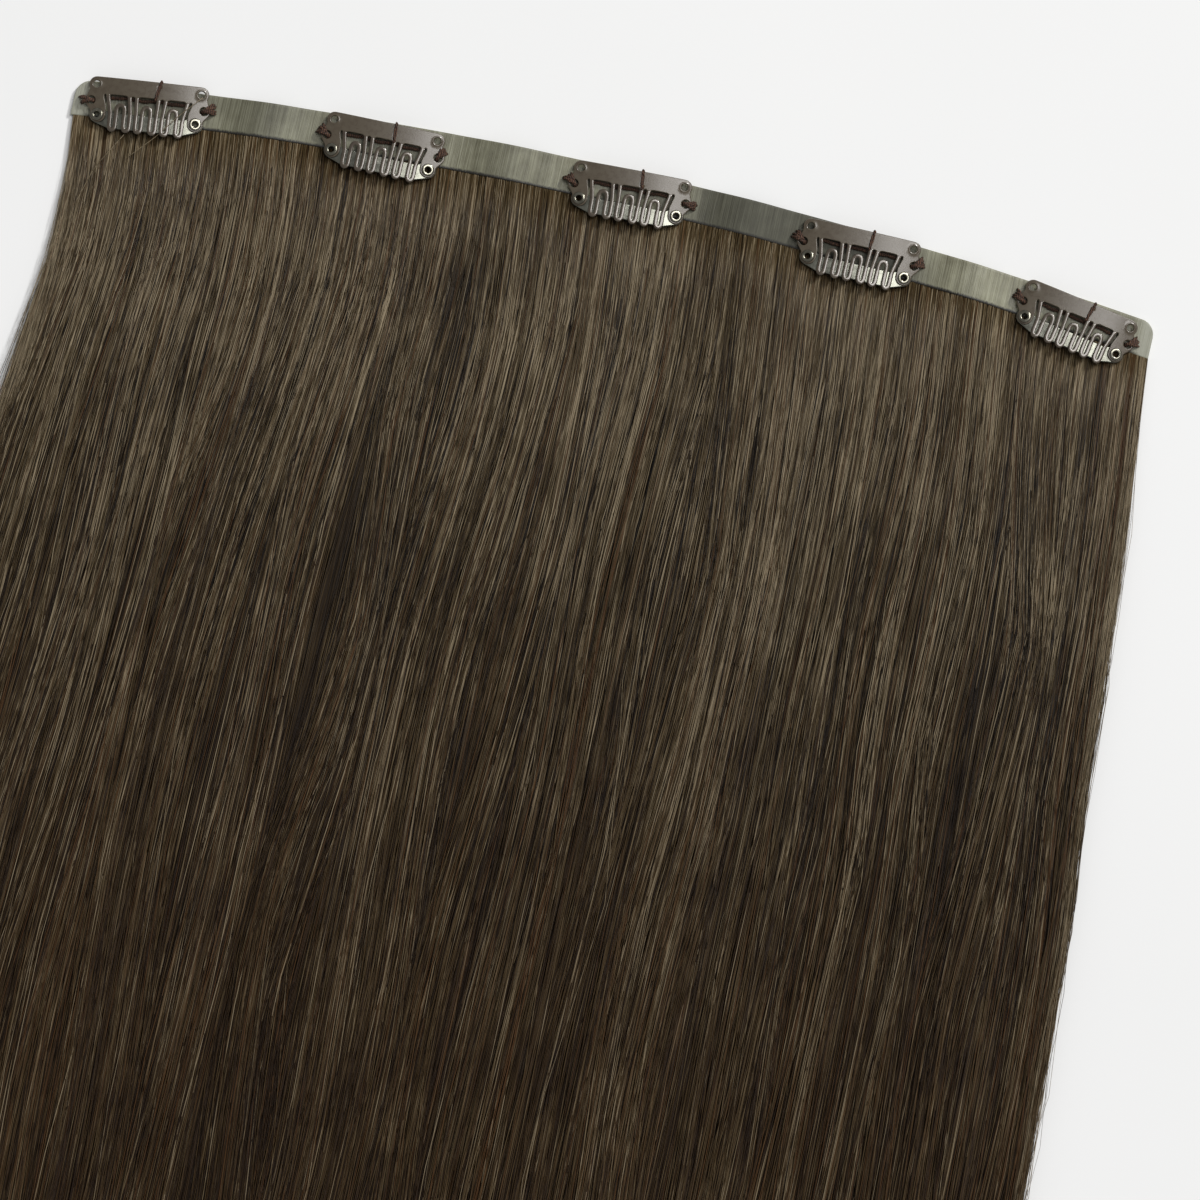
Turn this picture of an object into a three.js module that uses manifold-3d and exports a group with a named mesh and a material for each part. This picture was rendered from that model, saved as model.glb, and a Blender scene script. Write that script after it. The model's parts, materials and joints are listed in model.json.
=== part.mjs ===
// A clip-in hair extension lying face up: a curtain of hair on a clear band that carries five snap clips.
// Millimetres, +Z up. X runs along the band from its left end, and the hair hangs towards -Y.
import * as THREE from "three";
import { mergeVertices } from "three/addons/utils/BufferGeometryUtils.js";
import Module from "manifold-3d";

const wasm = await Module();
wasm.setup();

// Clearances
const SEAT_GAP = 0.3; // between the band and what lies on or beside it
const SHEET_GAP = 0.15; // between the sheets that an eyelet joins
const EYELET_GAP = 0.1; // between a sheet and an eyelet's flange
const BORE_GAP = 0.2; // between an eyelet's barrel and its hole
const NECK_GAP = 0.3; // the cut between the centre plate and each ear, where the neck twists
const TOOTH_GAP = 0.23; // between the outer legs of neighbouring comb loops

// Band
const BAND_LENGTH = 244;
const BAND_HEIGHT = 8;
const BAND_THICKNESS = 1;
const BAND_BOW = 7.3; // how far its ends lie below the middle of its top edge
const BAND_CORNER = 3;
const BAND_HUMP = 1.5; // how far it lifts off the table between two clips
const BAND_STEP = 4.4;

// Hair
const HAIR_LENGTH = 400;
const HAIR_THICKNESS = 4.2;
const ROOT_STRIP = 5; // depth of the sewn strip that every lock grows from
const ROOT_THICKNESS = 0.85;
const ROOT_SETTLE = 30; // distance below the band in which the hair comes down from a hump
const LOCK_OVERLAP = 1.3; // lock width over lock spacing
const HAIR_WAVE = 2.6;
const HAIR_WAVE_LENGTH = 250;
const TIP_SWAY = 3;

// Clip, seen from the front with its top edge at y = 0
const CLIP_LENGTH = 28;
const EAR_LENGTH = 3.8; // from the tip of an ear to its neck
const SHEET = 0.4;
const ARCH_RISE = 1.23;
const PLATE_DEPTH = 3.75;
const UPPER_LOBE = 1.7;
const UPPER_HOLE = 0.75;
const UPPER_INSET = 1.4; // from the neck to the upper hole
const TIP_LOBE = 1.5;
const SEWING_HOLE = 0.9;
const SEWING_DROP = 5.3;
const RIVET_INSET = 0.6; // from the neck to the eyelet
const RIVET_DROP = 8.35;
const EAR_LOBE = 1.75;
const EAR_SLOT = 0.5; // between an ear and the comb's outermost leg

// Comb
const WIRE = 0.7;
const ROOT_MARGIN = 1.03; // from the plate's end to the outermost leg's root
const ROOT_SHIFT = 0.67; // how far the side loops' legs step inwards below the plate
const KINK_DEPTH = 1.7;
const LOOP_GAP = 1.55; // from the plate down to the top of a loop
const TOOTH_DROP = 12.1;
const COMB_LOOPS = [-1, 0, 1];

// Back bar and eyelets
const BAR_SHEET = 0.3;
const BAR_LOBE = 1.9;
const BAR_RISE = 0.65; // its top edge above the eyelets' centres
const TOOTH_OVERHANG = 0.9; // how far the teeth reach past its lower edge
const BAR_CORNER = 2.6;
const EYELET_BORE = 0.62;
const EYELET_BARREL = 0.82;
const EYELET_FLANGE = 1.4;
const FLANGE_SHEET = 0.2;

// Segments of the round stretches
const LOBE_STEPS = 4;
const LOOP_STEPS = 4;
const HOLE_SIDES = 8;
const EYELET_SIDES = 10;

// Each clip's place: along the half band, turned from the band's own direction, and above its top edge
const CLIPS = [
  { name: "clip_1", along: -0.871, lean: 0.7, rise: 1.1 },
  { name: "clip_2", along: -0.436, lean: -2.3, rise: -0.25 },
  { name: "clip_3", along: 0.018, lean: 2.2, rise: 0.25 },
  { name: "clip_4", along: 0.447, lean: 2.9, rise: 0 },
  { name: "clip_5", along: 0.864, lean: -4, rise: -0.35 },
];

// Where the clip's arch bends: shares of half its length and of its rise
const ARCH = [
  { along: 0, rise: 1 },
  { along: 0.234, rise: 1 },
  { along: 0.646, rise: 0.64 },
  { along: 1, rise: 0 },
];

// The hair's side edges below the band: shares of the hair's length and of the band's length
const EDGES = [
  { down: 0, left: 0, right: 0 },
  { down: 0.05, left: 0.012, right: 0.01 },
  { down: 0.1, left: 0.002, right: 0.02 },
  { down: 0.16, left: -0.012, right: 0.025 },
  { down: 0.24, left: -0.022, right: 0.03 },
  { down: 0.32, left: -0.03, right: 0.05 },
  { down: 0.44, left: -0.034, right: 0.061 },
  { down: 1, left: -0.036, right: 0.061 },
];

// Sections down a lock: shares of its length, of the hair's thickness and of the lock's width
const SECTIONS = [
  { down: 0, thick: 0.24, wide: 1 },
  { down: 0.02, thick: 0.26, wide: 1 },
  { down: 0.08, thick: 0.55, wide: 1 },
  { down: 0.18, thick: 0.9, wide: 1 },
  { down: 0.34, thick: 1, wide: 1 },
  { down: 0.52, thick: 0.98, wide: 1 },
  { down: 0.7, thick: 0.86, wide: 0.98 },
  { down: 0.85, thick: 0.66, wide: 0.92 },
  { down: 0.95, thick: 0.45, wide: 0.76 },
  { down: 1, thick: 0.25, wide: 0.45 },
];

// A lock's own form: its length and thickness as shares of the hair's, and its tip's share of the sway
const LOCKS = [
  { long: 0.975, thick: 0.8, sway: -0.7 },
  { long: 0.99, thick: 0.95, sway: 0.3 },
  { long: 0.965, thick: 0.85, sway: -0.2 },
  { long: 1, thick: 1, sway: 0.8 },
  { long: 0.98, thick: 0.88, sway: -0.5 },
  { long: 0.995, thick: 0.97, sway: 0.1 },
  { long: 0.97, thick: 0.84, sway: 0.7 },
  { long: 1, thick: 1, sway: -0.6 },
  { long: 0.985, thick: 0.9, sway: 0.4 },
  { long: 0.995, thick: 0.96, sway: -0.3 },
  { long: 0.97, thick: 0.86, sway: 0.6 },
  { long: 0.985, thick: 0.82, sway: -0.1 },
];

// Across a lock: shares of its half width and of its thickness, over the top from right to left
const DOME = [
  { across: 1, high: 0.4 },
  { across: 0.6, high: 0.86 },
  { across: 0, high: 1 },
  { across: -0.6, high: 0.86 },
  { across: -1, high: 0.4 },
];

// Derived sizes of a clip
const clipHalf = CLIP_LENGTH / 2;
const neckX = clipHalf - EAR_LENGTH;
const plateHalf = neckX - NECK_GAP;
const rivetX = neckX + RIVET_INSET;
const upperX = neckX + UPPER_INSET;
const sewingX = clipHalf - TIP_LOBE;
const barUnder = BAND_THICKNESS + SEAT_GAP;
const sheetUnder = barUnder + BAR_SHEET + SHEET_GAP;
const combHalf = plateHalf - ROOT_MARGIN - ROOT_SHIFT;
const loopGap = WIRE + TOOTH_GAP;
const legPitch = (2 * combHalf - (COMB_LOOPS.length - 1) * loopGap) / (3 * COMB_LOOPS.length);
const loopSpacing = 3 * legPitch + loopGap;

const bandHalf = BAND_LENGTH / 2;
const lockHalf = (LOCK_OVERLAP * BAND_LENGTH) / (2 * LOCKS.length);
const radians = THREE.MathUtils.degToRad;
const lerp = THREE.MathUtils.lerp;

// The value of one column of a table, read at a place along another by straight lines between its rows.
function column(table, key, at, value) {
  const next = table.findIndex((row) => row[key] >= at);
  if (next < 0) return table[table.length - 1][value];
  if (next === 0) return table[0][value];
  const [a, b] = [table[next - 1], table[next]];
  return lerp(a[value], b[value], (at - a[key]) / (b[key] - a[key]));
}

// Solids

// A closed three.js geometry as a solid that can be joined and cut.
function solidOf(geometry) {
  const bare = geometry.clone();
  bare.deleteAttribute("normal");
  bare.deleteAttribute("uv");
  const merged = mergeVertices(bare, 1e-4);
  const vertProperties = new Float32Array(merged.attributes.position.array);
  const triVerts = new Uint32Array(merged.index.array);
  return new wasm.Manifold(new wasm.Mesh({ numProp: 3, vertProperties, triVerts }));
}

// A solid as a flat-shaded three.js geometry.
function geometryOf(solid) {
  const { numProp, vertProperties, triVerts } = solid.getMesh();
  const count = vertProperties.length / numProp;
  const position = new Float32Array(count * 3);
  for (let i = 0; i < count; i++) {
    position.set(vertProperties.subarray(i * numProp, i * numProp + 3), i * 3);
  }
  const indexed = new THREE.BufferGeometry()
    .setAttribute("position", new THREE.BufferAttribute(position, 3))
    .setIndex(new THREE.BufferAttribute(new Uint32Array(triVerts), 1));
  const flat = indexed.toNonIndexed();
  flat.computeVertexNormals();
  return flat;
}

const joined = (solids) => solids.reduce((whole, next) => whole.add(next));

// A closed skin over rings of points, one ring a section, each with as many points as the next.
function loft(rings) {
  const size = rings[0].length;
  const position = rings.flat().flatMap((point) => [point.x, point.y, point.z]);
  const index = [];
  for (let r = 0; r + 1 < rings.length; r++) {
    for (let i = 0; i < size; i++) {
      const [a, b] = [r * size + i, r * size + ((i + 1) % size)];
      index.push(a, b, b + size, a, b + size, a + size);
    }
  }
  const last = (rings.length - 1) * size;
  for (let i = 1; i + 1 < size; i++) {
    index.push(0, i + 1, i, last, last + i, last + i + 1);
  }
  return new THREE.BufferGeometry()
    .setAttribute("position", new THREE.Float32BufferAttribute(position, 3))
    .setIndex(index);
}

// Points on an arc, angles in degrees, from one to the other.
function arc(x, y, radius, from, to, steps) {
  return Array.from({ length: steps + 1 }, (_, i) => {
    const angle = radians(lerp(from, to, i / steps));
    return new THREE.Vector2(x + radius * Math.cos(angle), y + radius * Math.sin(angle));
  });
}

// A round hole as a closed path.
const hole = (x, y, radius) =>
  new THREE.Path(arc(x, y, radius, 0, 360 - 360 / HOLE_SIDES, HOLE_SIDES - 1));

// The outline of a stroke of even width along a path.
function stroke(path, width) {
  const sides = path.map((point, i) => {
    const before = point.clone().sub(path[Math.max(i - 1, 0)]).normalize();
    const after = path[Math.min(i + 1, path.length - 1)].clone().sub(point).normalize();
    const along = before.clone().add(after).normalize();
    const miter = 1 / Math.max(along.dot(i ? before : after), 0.5);
    return new THREE.Vector2(-along.y, along.x).multiplyScalar((miter * width) / 2);
  });
  const left = path.map((point, i) => point.clone().add(sides[i]));
  const right = path.map((point, i) => point.clone().sub(sides[i]));
  return new THREE.Shape([...left, ...right.reverse()]);
}

// Arch of a clip

// Height of the arch over a place along the clip.
const archAt = (x) => ARCH_RISE * column(ARCH, "along", Math.abs(x) / clipHalf, "rise");

const archBends = ARCH.slice(1, -1).map((row) => row.along * clipHalf);
const archEdges = [-clipHalf - 1, ...archBends.map((x) => -x).reverse(), ...archBends, clipHalf + 1];
const archTilt = Math.atan(archAt(archBends[1]) / (clipHalf - archBends[1]));

// A flat sheet cut from a shape and bent over the arch, in stretches that each stay flat.
function archedSheet(shapes, thickness, under) {
  const flat = joined(
    shapes.map((shape) =>
      solidOf(new THREE.ExtrudeGeometry(shape, { depth: thickness, bevelEnabled: false })),
    ),
  );
  const stretches = archEdges.slice(1).map((to, i) => {
    const from = archEdges[i];
    const slab = new THREE.BoxGeometry(to - from, 4 * CLIP_LENGTH, 4 * CLIP_LENGTH);
    const cut = flat.intersect(solidOf(slab.translate((from + to) / 2, 0, 0)));
    return cut.isEmpty() ? null : lifted(cut, under);
  });
  return geometryOf(joined(stretches.filter((stretch) => stretch)));
}

// A stretch of sheet raised to its height over the arch, with its corners on a fine grid.
function lifted(stretch, under) {
  const { numProp, vertProperties, triVerts } = stretch.getMesh();
  const raised = new Float32Array(vertProperties);
  const fine = (value) => Math.round(value * 1e4) / 1e4;
  for (let i = 0; i < raised.length; i += numProp) {
    const [x, y, z] = [fine(raised[i]), fine(raised[i + 1]), fine(raised[i + 2])];
    raised.set([x, y, fine(z + under + archAt(x))], i);
  }
  return new wasm.Manifold(new wasm.Mesh({ numProp, vertProperties: raised, triVerts }));
}

// Clip pieces

// The path of one comb loop: down, round a tooth, up and over, round the next tooth and up again.
function loopPath(side) {
  const middle = side * loopSpacing;
  const shift = side * ROOT_SHIFT;
  const legs = [-1.5, -0.5, 0.5, 1.5].map((step) => middle + step * legPitch);
  const turn = legPitch / 2;
  const tooth = -TOOTH_DROP + turn + WIRE / 2;
  const top = -PLATE_DEPTH - LOOP_GAP - turn - WIRE / 2;
  const root = -PLATE_DEPTH + WIRE;
  return [
    new THREE.Vector2(legs[0] + shift, root),
    new THREE.Vector2(legs[0] + shift, -PLATE_DEPTH),
    new THREE.Vector2(legs[0], -PLATE_DEPTH - KINK_DEPTH),
    ...arc(legs[0] + turn, tooth, turn, 180, 360, LOOP_STEPS),
    ...arc(legs[1] + turn, top, turn, 180, 0, LOOP_STEPS),
    ...arc(legs[2] + turn, tooth, turn, 180, 360, LOOP_STEPS),
    new THREE.Vector2(legs[3], -PLATE_DEPTH - KINK_DEPTH),
    new THREE.Vector2(legs[3] + shift, -PLATE_DEPTH),
    new THREE.Vector2(legs[3] + shift, root),
  ];
}

// The centre plate and its six-tooth comb, stamped in one.
function combGeometry() {
  const plate = new THREE.Shape([
    new THREE.Vector2(-plateHalf, 0),
    new THREE.Vector2(-plateHalf, -PLATE_DEPTH),
    new THREE.Vector2(plateHalf, -PLATE_DEPTH),
    new THREE.Vector2(plateHalf, 0),
  ]);
  const loops = COMB_LOOPS.map((side) => stroke(loopPath(side), WIRE));
  return archedSheet([plate, ...loops], SHEET, sheetUnder);
}

// An outline and its holes, mirrored for the left side.
function sidedShape(side, outline, holes) {
  const flip = (point) => new THREE.Vector2(side * point.x, point.y);
  const shape = new THREE.Shape(outline.map(flip));
  shape.holes = holes.map(({ x, y, radius }) => hole(side * x, y, radius));
  return shape;
}

// An ear: the sewn-down end of the clip, with a lobe round each of its three holes.
function earGeometry(side) {
  const shoulder = -PLATE_DEPTH - NECK_GAP;
  const outline = [
    new THREE.Vector2(neckX, shoulder),
    new THREE.Vector2(neckX, 0),
    ...arc(upperX, -UPPER_LOBE, UPPER_LOBE, 90, -35, LOBE_STEPS),
    ...arc(sewingX, -SEWING_DROP, TIP_LOBE, 45, -45, LOBE_STEPS - 1),
    ...arc(rivetX, -RIVET_DROP, EAR_LOBE, 20, -180, LOBE_STEPS + 2),
    new THREE.Vector2(rivetX - EAR_LOBE, lerp(shoulder, -RIVET_DROP, 0.55)),
    new THREE.Vector2(plateHalf - ROOT_MARGIN + WIRE / 2 + EAR_SLOT, shoulder),
  ];
  const holes = [
    { x: upperX, y: -UPPER_LOBE, radius: UPPER_HOLE },
    { x: sewingX, y: -SEWING_DROP, radius: SEWING_HOLE },
    { x: rivetX, y: -RIVET_DROP, radius: EYELET_BARREL + BORE_GAP },
  ];
  return archedSheet([sidedShape(side, outline, holes)], SHEET, sheetUnder);
}

// The back bar that the teeth close on, with a lobe at each eyelet.
function barGeometry() {
  const top = -RIVET_DROP + BAR_RISE;
  const bottom = -TOOTH_DROP + TOOTH_OVERHANG;
  const rightHalf = [
    new THREE.Vector2(rivetX - BAR_CORNER, bottom),
    ...arc(rivetX, -RIVET_DROP, BAR_LOBE, -60, 140, LOBE_STEPS + 2),
    new THREE.Vector2(rivetX - BAR_CORNER, top),
  ];
  const leftHalf = rightHalf.map((point) => new THREE.Vector2(-point.x, point.y)).reverse();
  const shape = new THREE.Shape([...rightHalf, ...leftHalf]);
  shape.holes = [-1, 1].map((side) => hole(side * rivetX, -RIVET_DROP, EYELET_BARREL + BORE_GAP));
  return archedSheet([shape], BAR_SHEET, barUnder);
}

// Half the height between an eyelet's flanges.
const eyeletReach =
  ((BAR_SHEET + SHEET_GAP + SHEET) / 2) * Math.cos(archTilt) + EYELET_GAP;

// An eyelet: a barrel with a flange at each end, turned about Z.
function eyeletGeometry() {
  const outer = eyeletReach + FLANGE_SHEET;
  const profile = [
    new THREE.Vector2(EYELET_BORE, -outer),
    new THREE.Vector2(EYELET_FLANGE, -outer),
    new THREE.Vector2(EYELET_FLANGE, -eyeletReach),
    new THREE.Vector2(EYELET_BARREL, -eyeletReach),
    new THREE.Vector2(EYELET_BARREL, eyeletReach),
    new THREE.Vector2(EYELET_FLANGE, eyeletReach),
    new THREE.Vector2(EYELET_FLANGE, outer),
    new THREE.Vector2(EYELET_BORE, outer),
    new THREE.Vector2(EYELET_BORE, -outer),
  ];
  const turned = new THREE.LatheGeometry(profile, EYELET_SIDES).rotateX(Math.PI / 2);
  return geometryOf(solidOf(turned));
}

// Band

// The band's top edge, and its direction in degrees, at a place along it.
const bandTop = (x) => -BAND_BOW * (x / bandHalf) ** 2;
const bandTurn = (x) => THREE.MathUtils.radToDeg(Math.atan((-2 * BAND_BOW * x) / bandHalf ** 2));

// How far the band lifts between two clips: one smooth hump, flat under the clips themselves.
function humpAt(x) {
  const flat = clipHalf + 1;
  const next = CLIPS.findIndex((clip) => clip.along * bandHalf > x);
  if (next < 1) return 0;
  const from = CLIPS[next - 1].along * bandHalf + flat;
  const to = CLIPS[next].along * bandHalf - flat;
  const share = THREE.MathUtils.clamp((x - from) / (to - from), 0, 1);
  return BAND_HUMP * Math.sin(Math.PI * share) ** 2;
}

// Places along the band: close together round each end corner, evenly spaced between.
function bandPlaces() {
  const corner = [0, 0.12, 0.4, 1].map((share) => bandHalf - share * BAND_CORNER);
  const inner = bandHalf - BAND_CORNER;
  const steps = Math.round((2 * inner) / BAND_STEP);
  const even = Array.from({ length: steps - 1 }, (_, i) => lerp(-inner, inner, (i + 1) / steps));
  return [...corner.map((x) => -x), ...even, ...corner.reverse()];
}

// The clear band: a flat strip that follows the bow, with rounded end corners.
function bandGeometry() {
  const rings = bandPlaces().map((x) => {
    const into = Math.min(bandHalf - Math.abs(x), BAND_CORNER);
    const cut = BAND_CORNER - Math.sqrt(BAND_CORNER ** 2 - (BAND_CORNER - into) ** 2);
    const top = bandTop(x) - cut;
    const bottom = bandTop(x) - BAND_HEIGHT;
    const under = humpAt(x);
    const over = under + BAND_THICKNESS;
    return [
      new THREE.Vector3(x, top, under),
      new THREE.Vector3(x, top, over),
      new THREE.Vector3(x, bottom, over),
      new THREE.Vector3(x, bottom, under),
    ];
  });
  return loft(rings);
}

// Hair

// The root line of the hair, just below the band.
const rootLine = (x) => bandTop(x) - BAND_HEIGHT - SEAT_GAP;

// A lock: a strand of the curtain with a flat underside and a domed top.
function lockGeometry(row, number) {
  const rootX = lerp(-1, 1, number / (LOCKS.length - 1)) * (bandHalf - lockHalf);
  const side = rootX / bandHalf;
  const rings = SECTIONS.map((section) => {
    const down = section.down * row.long;
    const spread = lerp(
      column(EDGES, "down", down, "left"),
      column(EDGES, "down", down, "right"),
      (1 + side) / 2,
    );
    const turn = (2 * Math.PI * down * HAIR_LENGTH) / HAIR_WAVE_LENGTH;
    const wave = HAIR_WAVE * down * (Math.sin(turn + side) - Math.sin(side));
    const x = rootX + spread * BAND_LENGTH + wave + TIP_SWAY * row.sway * down ** 2;
    const settle = THREE.MathUtils.smoothstep(down * HAIR_LENGTH, 0, ROOT_SETTLE);
    const point = (across, high) => {
      const here = rootX + across * lockHalf;
      const under = humpAt(here) * (1 - settle);
      const thick = HAIR_THICKNESS * section.thick * lerp(1, row.thick, settle);
      return new THREE.Vector3(
        x + across * lockHalf * section.wide,
        rootLine(here) - down * HAIR_LENGTH,
        high ? under + high * thick : 0,
      );
    };
    const over = DOME.map(({ across, high }) => point(across, high));
    return [point(-1, 0), point(0, 0), point(1, 0), ...over];
  });
  return loft(rings);
}

// The sewn strip along the band that the locks are fused to.
function rootStripGeometry() {
  const inner = bandPlaces().slice(2, -2);
  const rings = inner.map((x) => {
    const over = humpAt(x) + ROOT_THICKNESS;
    return [
      new THREE.Vector3(x, rootLine(x), 0),
      new THREE.Vector3(x, rootLine(x), over),
      new THREE.Vector3(x, rootLine(x) - ROOT_STRIP, over),
      new THREE.Vector3(x, rootLine(x) - ROOT_STRIP, 0),
    ];
  });
  return loft(rings);
}

// The whole curtain of hair: its locks fused to the root strip.
function hairGeometry() {
  const locks = LOCKS.map((row, number) => solidOf(lockGeometry(row, number)));
  return geometryOf(joined([solidOf(rootStripGeometry()), ...locks]));
}

// Materials

const material = (color, roughness, metalness) =>
  new THREE.MeshStandardMaterial({ color, roughness, metalness });
const PAINT = material(0x51453e, 0.35, 0.2);
const STEEL = material(0x8d8a84, 0.3, 0.9);
const EYELET_METAL = material(0xc2bdb2, 0.22, 1);
const CLEAR_BAND = material(0x7c7b72, 0.45, 0);
const BROWN_HAIR = material(0x453a30, 0.5, 0);

// Assembly

function piece(name, geometry, finish) {
  const mesh = new THREE.Mesh(geometry, finish.clone());
  mesh.name = name;
  return mesh;
}

const combShape = combGeometry();
const barShape = barGeometry();
const eyeletShape = eyeletGeometry();
const earShapes = { left: earGeometry(-1), right: earGeometry(1) };
const eyeletMiddle = barUnder + (BAR_SHEET + SHEET_GAP + SHEET) / 2 + archAt(rivetX);

// One snap clip, placed on the band.
function clip({ name, along, lean, rise }) {
  const group = new THREE.Group();
  const x = along * bandHalf;
  group.position.set(x, bandTop(x) + rise, 0);
  group.rotation.z = radians(bandTurn(x) + lean);
  group.add(piece(`${name}_comb`, combShape, PAINT), piece(`${name}_bar`, barShape, STEEL));
  for (const [word, side] of [["left", -1], ["right", 1]]) {
    const eyelet = piece(`${name}_eyelet_${word}`, eyeletShape, EYELET_METAL);
    eyelet.position.set(side * rivetX, -RIVET_DROP, eyeletMiddle);
    eyelet.rotation.y = side * archTilt;
    group.add(piece(`${name}_ear_${word}`, earShapes[word], PAINT), eyelet);
  }
  return group;
}

const extension = new THREE.Group();
extension.add(piece("tape", bandGeometry(), CLEAR_BAND));
extension.add(piece("hair", hairGeometry(), BROWN_HAIR));
extension.add(...CLIPS.map(clip));

// The origin is under the middle of the whole piece, on the table.
extension.updateMatrixWorld(true);
const box = new THREE.Box3().setFromObject(extension, true);
const middle = box.getCenter(new THREE.Vector3());
extension.position.set(-middle.x, -middle.y, -box.min.z);

export default extension;
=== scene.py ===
# %% [markdown]
# A clip-in hair extension lies face up on a pale table: a curtain of straight hair on a clear band, with
# five snap clips sewn along it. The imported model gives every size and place. This script lays the looks
# over it: the band, the clips with their thread, and the hair, strand by strand.

import json
import math

import bmesh
import bpy
import numpy as np
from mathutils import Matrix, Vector
from mathutils.geometry import delaunay_2d_cdt


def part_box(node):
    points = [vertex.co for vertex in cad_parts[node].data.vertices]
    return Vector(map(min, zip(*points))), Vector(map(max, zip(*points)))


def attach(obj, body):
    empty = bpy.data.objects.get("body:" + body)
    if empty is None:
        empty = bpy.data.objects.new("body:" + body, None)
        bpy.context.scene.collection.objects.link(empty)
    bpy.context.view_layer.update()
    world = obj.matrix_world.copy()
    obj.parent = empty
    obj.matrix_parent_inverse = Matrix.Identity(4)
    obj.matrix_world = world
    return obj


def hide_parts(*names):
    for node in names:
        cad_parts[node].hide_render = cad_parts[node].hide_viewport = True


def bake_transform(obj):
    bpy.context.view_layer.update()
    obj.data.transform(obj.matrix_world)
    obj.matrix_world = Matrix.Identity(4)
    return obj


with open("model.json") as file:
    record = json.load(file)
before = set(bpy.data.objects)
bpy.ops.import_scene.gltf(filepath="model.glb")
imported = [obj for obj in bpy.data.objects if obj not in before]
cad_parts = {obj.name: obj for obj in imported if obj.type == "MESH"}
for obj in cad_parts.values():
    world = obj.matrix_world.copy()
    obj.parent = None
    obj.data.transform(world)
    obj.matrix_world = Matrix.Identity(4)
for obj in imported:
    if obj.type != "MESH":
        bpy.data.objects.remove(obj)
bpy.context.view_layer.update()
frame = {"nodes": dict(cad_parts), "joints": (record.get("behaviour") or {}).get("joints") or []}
scene = bpy.context.scene
scene.view_settings.view_transform = "Standard"
MM = 0.001
print("solids in the frame:", len(frame["nodes"]))

# %% [markdown]
# The places come from the frame. The band's box gives the line that the hair hangs from. Each clip's hinge
# gives the place and the turn of that clip, because the hinge runs along the clip. The few sizes that no box
# gives by itself, such as the band's height across its bow, are named here.

# %% places taken from the frame
tape_low, tape_high = (np.array(corner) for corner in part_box("tape"))
BAND_MIDDLE = (tape_low[0] + tape_high[0]) / 2
BAND_HALF = (tape_high[0] - tape_low[0]) / 2
BAND_TOP = tape_high[1]
BAND_HEIGHT = 8 * MM
BAND_THICKNESS = 1 * MM
BAND_BOW = tape_high[1] - tape_low[1] - BAND_HEIGHT
BAND_HUMP = tape_high[2] - BAND_THICKNESS
HAIR_LENGTH = 400 * MM
HINGE_DROP = 1.875 * MM  # from a clip's top edge down to its hinge


def clip_frame(joint):
    """A clip's own axes from its hinge, as a 4 by 4 matrix: X along the clip, Y up the band, with the
    origin on the table below the middle of the clip's top edge."""
    along = -np.array(joint["axis"])
    along = along / np.linalg.norm(along)
    up = np.array([-along[1], along[0], 0])
    matrix = np.eye(4)
    matrix[:3, 0] = along
    matrix[:3, 1] = up
    matrix[:2, 3] = (np.array(joint["pos_m"]) + up * HINGE_DROP)[:2]
    return matrix


joints = sorted(frame["joints"], key=lambda joint: joint["name"])
CLIPS = {int(joint["name"][-1]): clip_frame(joint) for joint in joints}
clip_along = np.array([matrix[0, 3] - BAND_MIDDLE for matrix in CLIPS.values()])
print("band", round(2 * BAND_HALF / MM, 1), "mm long, with", len(CLIPS), "clips")

# %% [markdown]
# The band is bowed, and it lifts off the table in one low hump between each two clips. Two formulas give
# its top edge and its lift at any place along it, and the hair's root line follows from them.

# %% the line of the band
CLIP_HALF = 14 * MM
CLIP_FLAT = CLIP_HALF + 1 * MM  # half the stretch under a clip where the band lies flat


def band_edge(x):
    """Height along Y of the band's top edge: the bow times the square of the place along the half band."""
    return BAND_TOP - BAND_BOW * (x / BAND_HALF) ** 2


def band_lift(x):
    """Lift off the table: between two clips, the hump's height times the squared sine of the way across."""
    lift = np.zeros_like(x)
    for left, right in zip(clip_along[:-1] + CLIP_FLAT, clip_along[1:] - CLIP_FLAT):
        share = np.clip((x - left) / (right - left), 0, 1)
        lift = lift + BAND_HUMP * np.sin(np.pi * share) ** 2
    return lift


print("the band's ends lie", round(BAND_BOW / MM, 1), "mm below its middle")

# %% [markdown]
# New pieces are arrays of points and faces worked out with numpy. One helper turns arrays into a mesh
# object, and another makes the faces of a grid of points, closed round one way or both.

# %% meshes from arrays


def make_piece(name, points, face_blocks, material, body="root"):
    """A mesh object from points, an array of N by 3, and blocks of faces, each an array whose rows are the
    corner numbers of one face, turned so that they face outwards. It rides on a body of the frame."""
    mesh = bpy.data.meshes.new(name)
    corners = np.concatenate([block.ravel() for block in face_blocks]).astype(np.int32)
    sizes = np.concatenate([np.full(len(block), block.shape[1]) for block in face_blocks])
    mesh.vertices.add(len(points))
    mesh.vertices.foreach_set("co", np.ascontiguousarray(points, dtype=np.float32).ravel())
    mesh.loops.add(len(corners))
    mesh.loops.foreach_set("vertex_index", corners)
    mesh.polygons.add(len(sizes))
    starts = np.concatenate([[0], np.cumsum(sizes)[:-1]]).astype(np.int32)
    mesh.polygons.foreach_set("loop_start", starts)
    mesh.polygons.foreach_set("use_smooth", np.full(len(sizes), True))
    mesh.update(calc_edges=True)
    mesh.materials.append(material)
    piece = bpy.data.objects.new(name, mesh)
    scene.collection.objects.link(piece)
    if body:
        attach(piece, body)
    return piece


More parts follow.
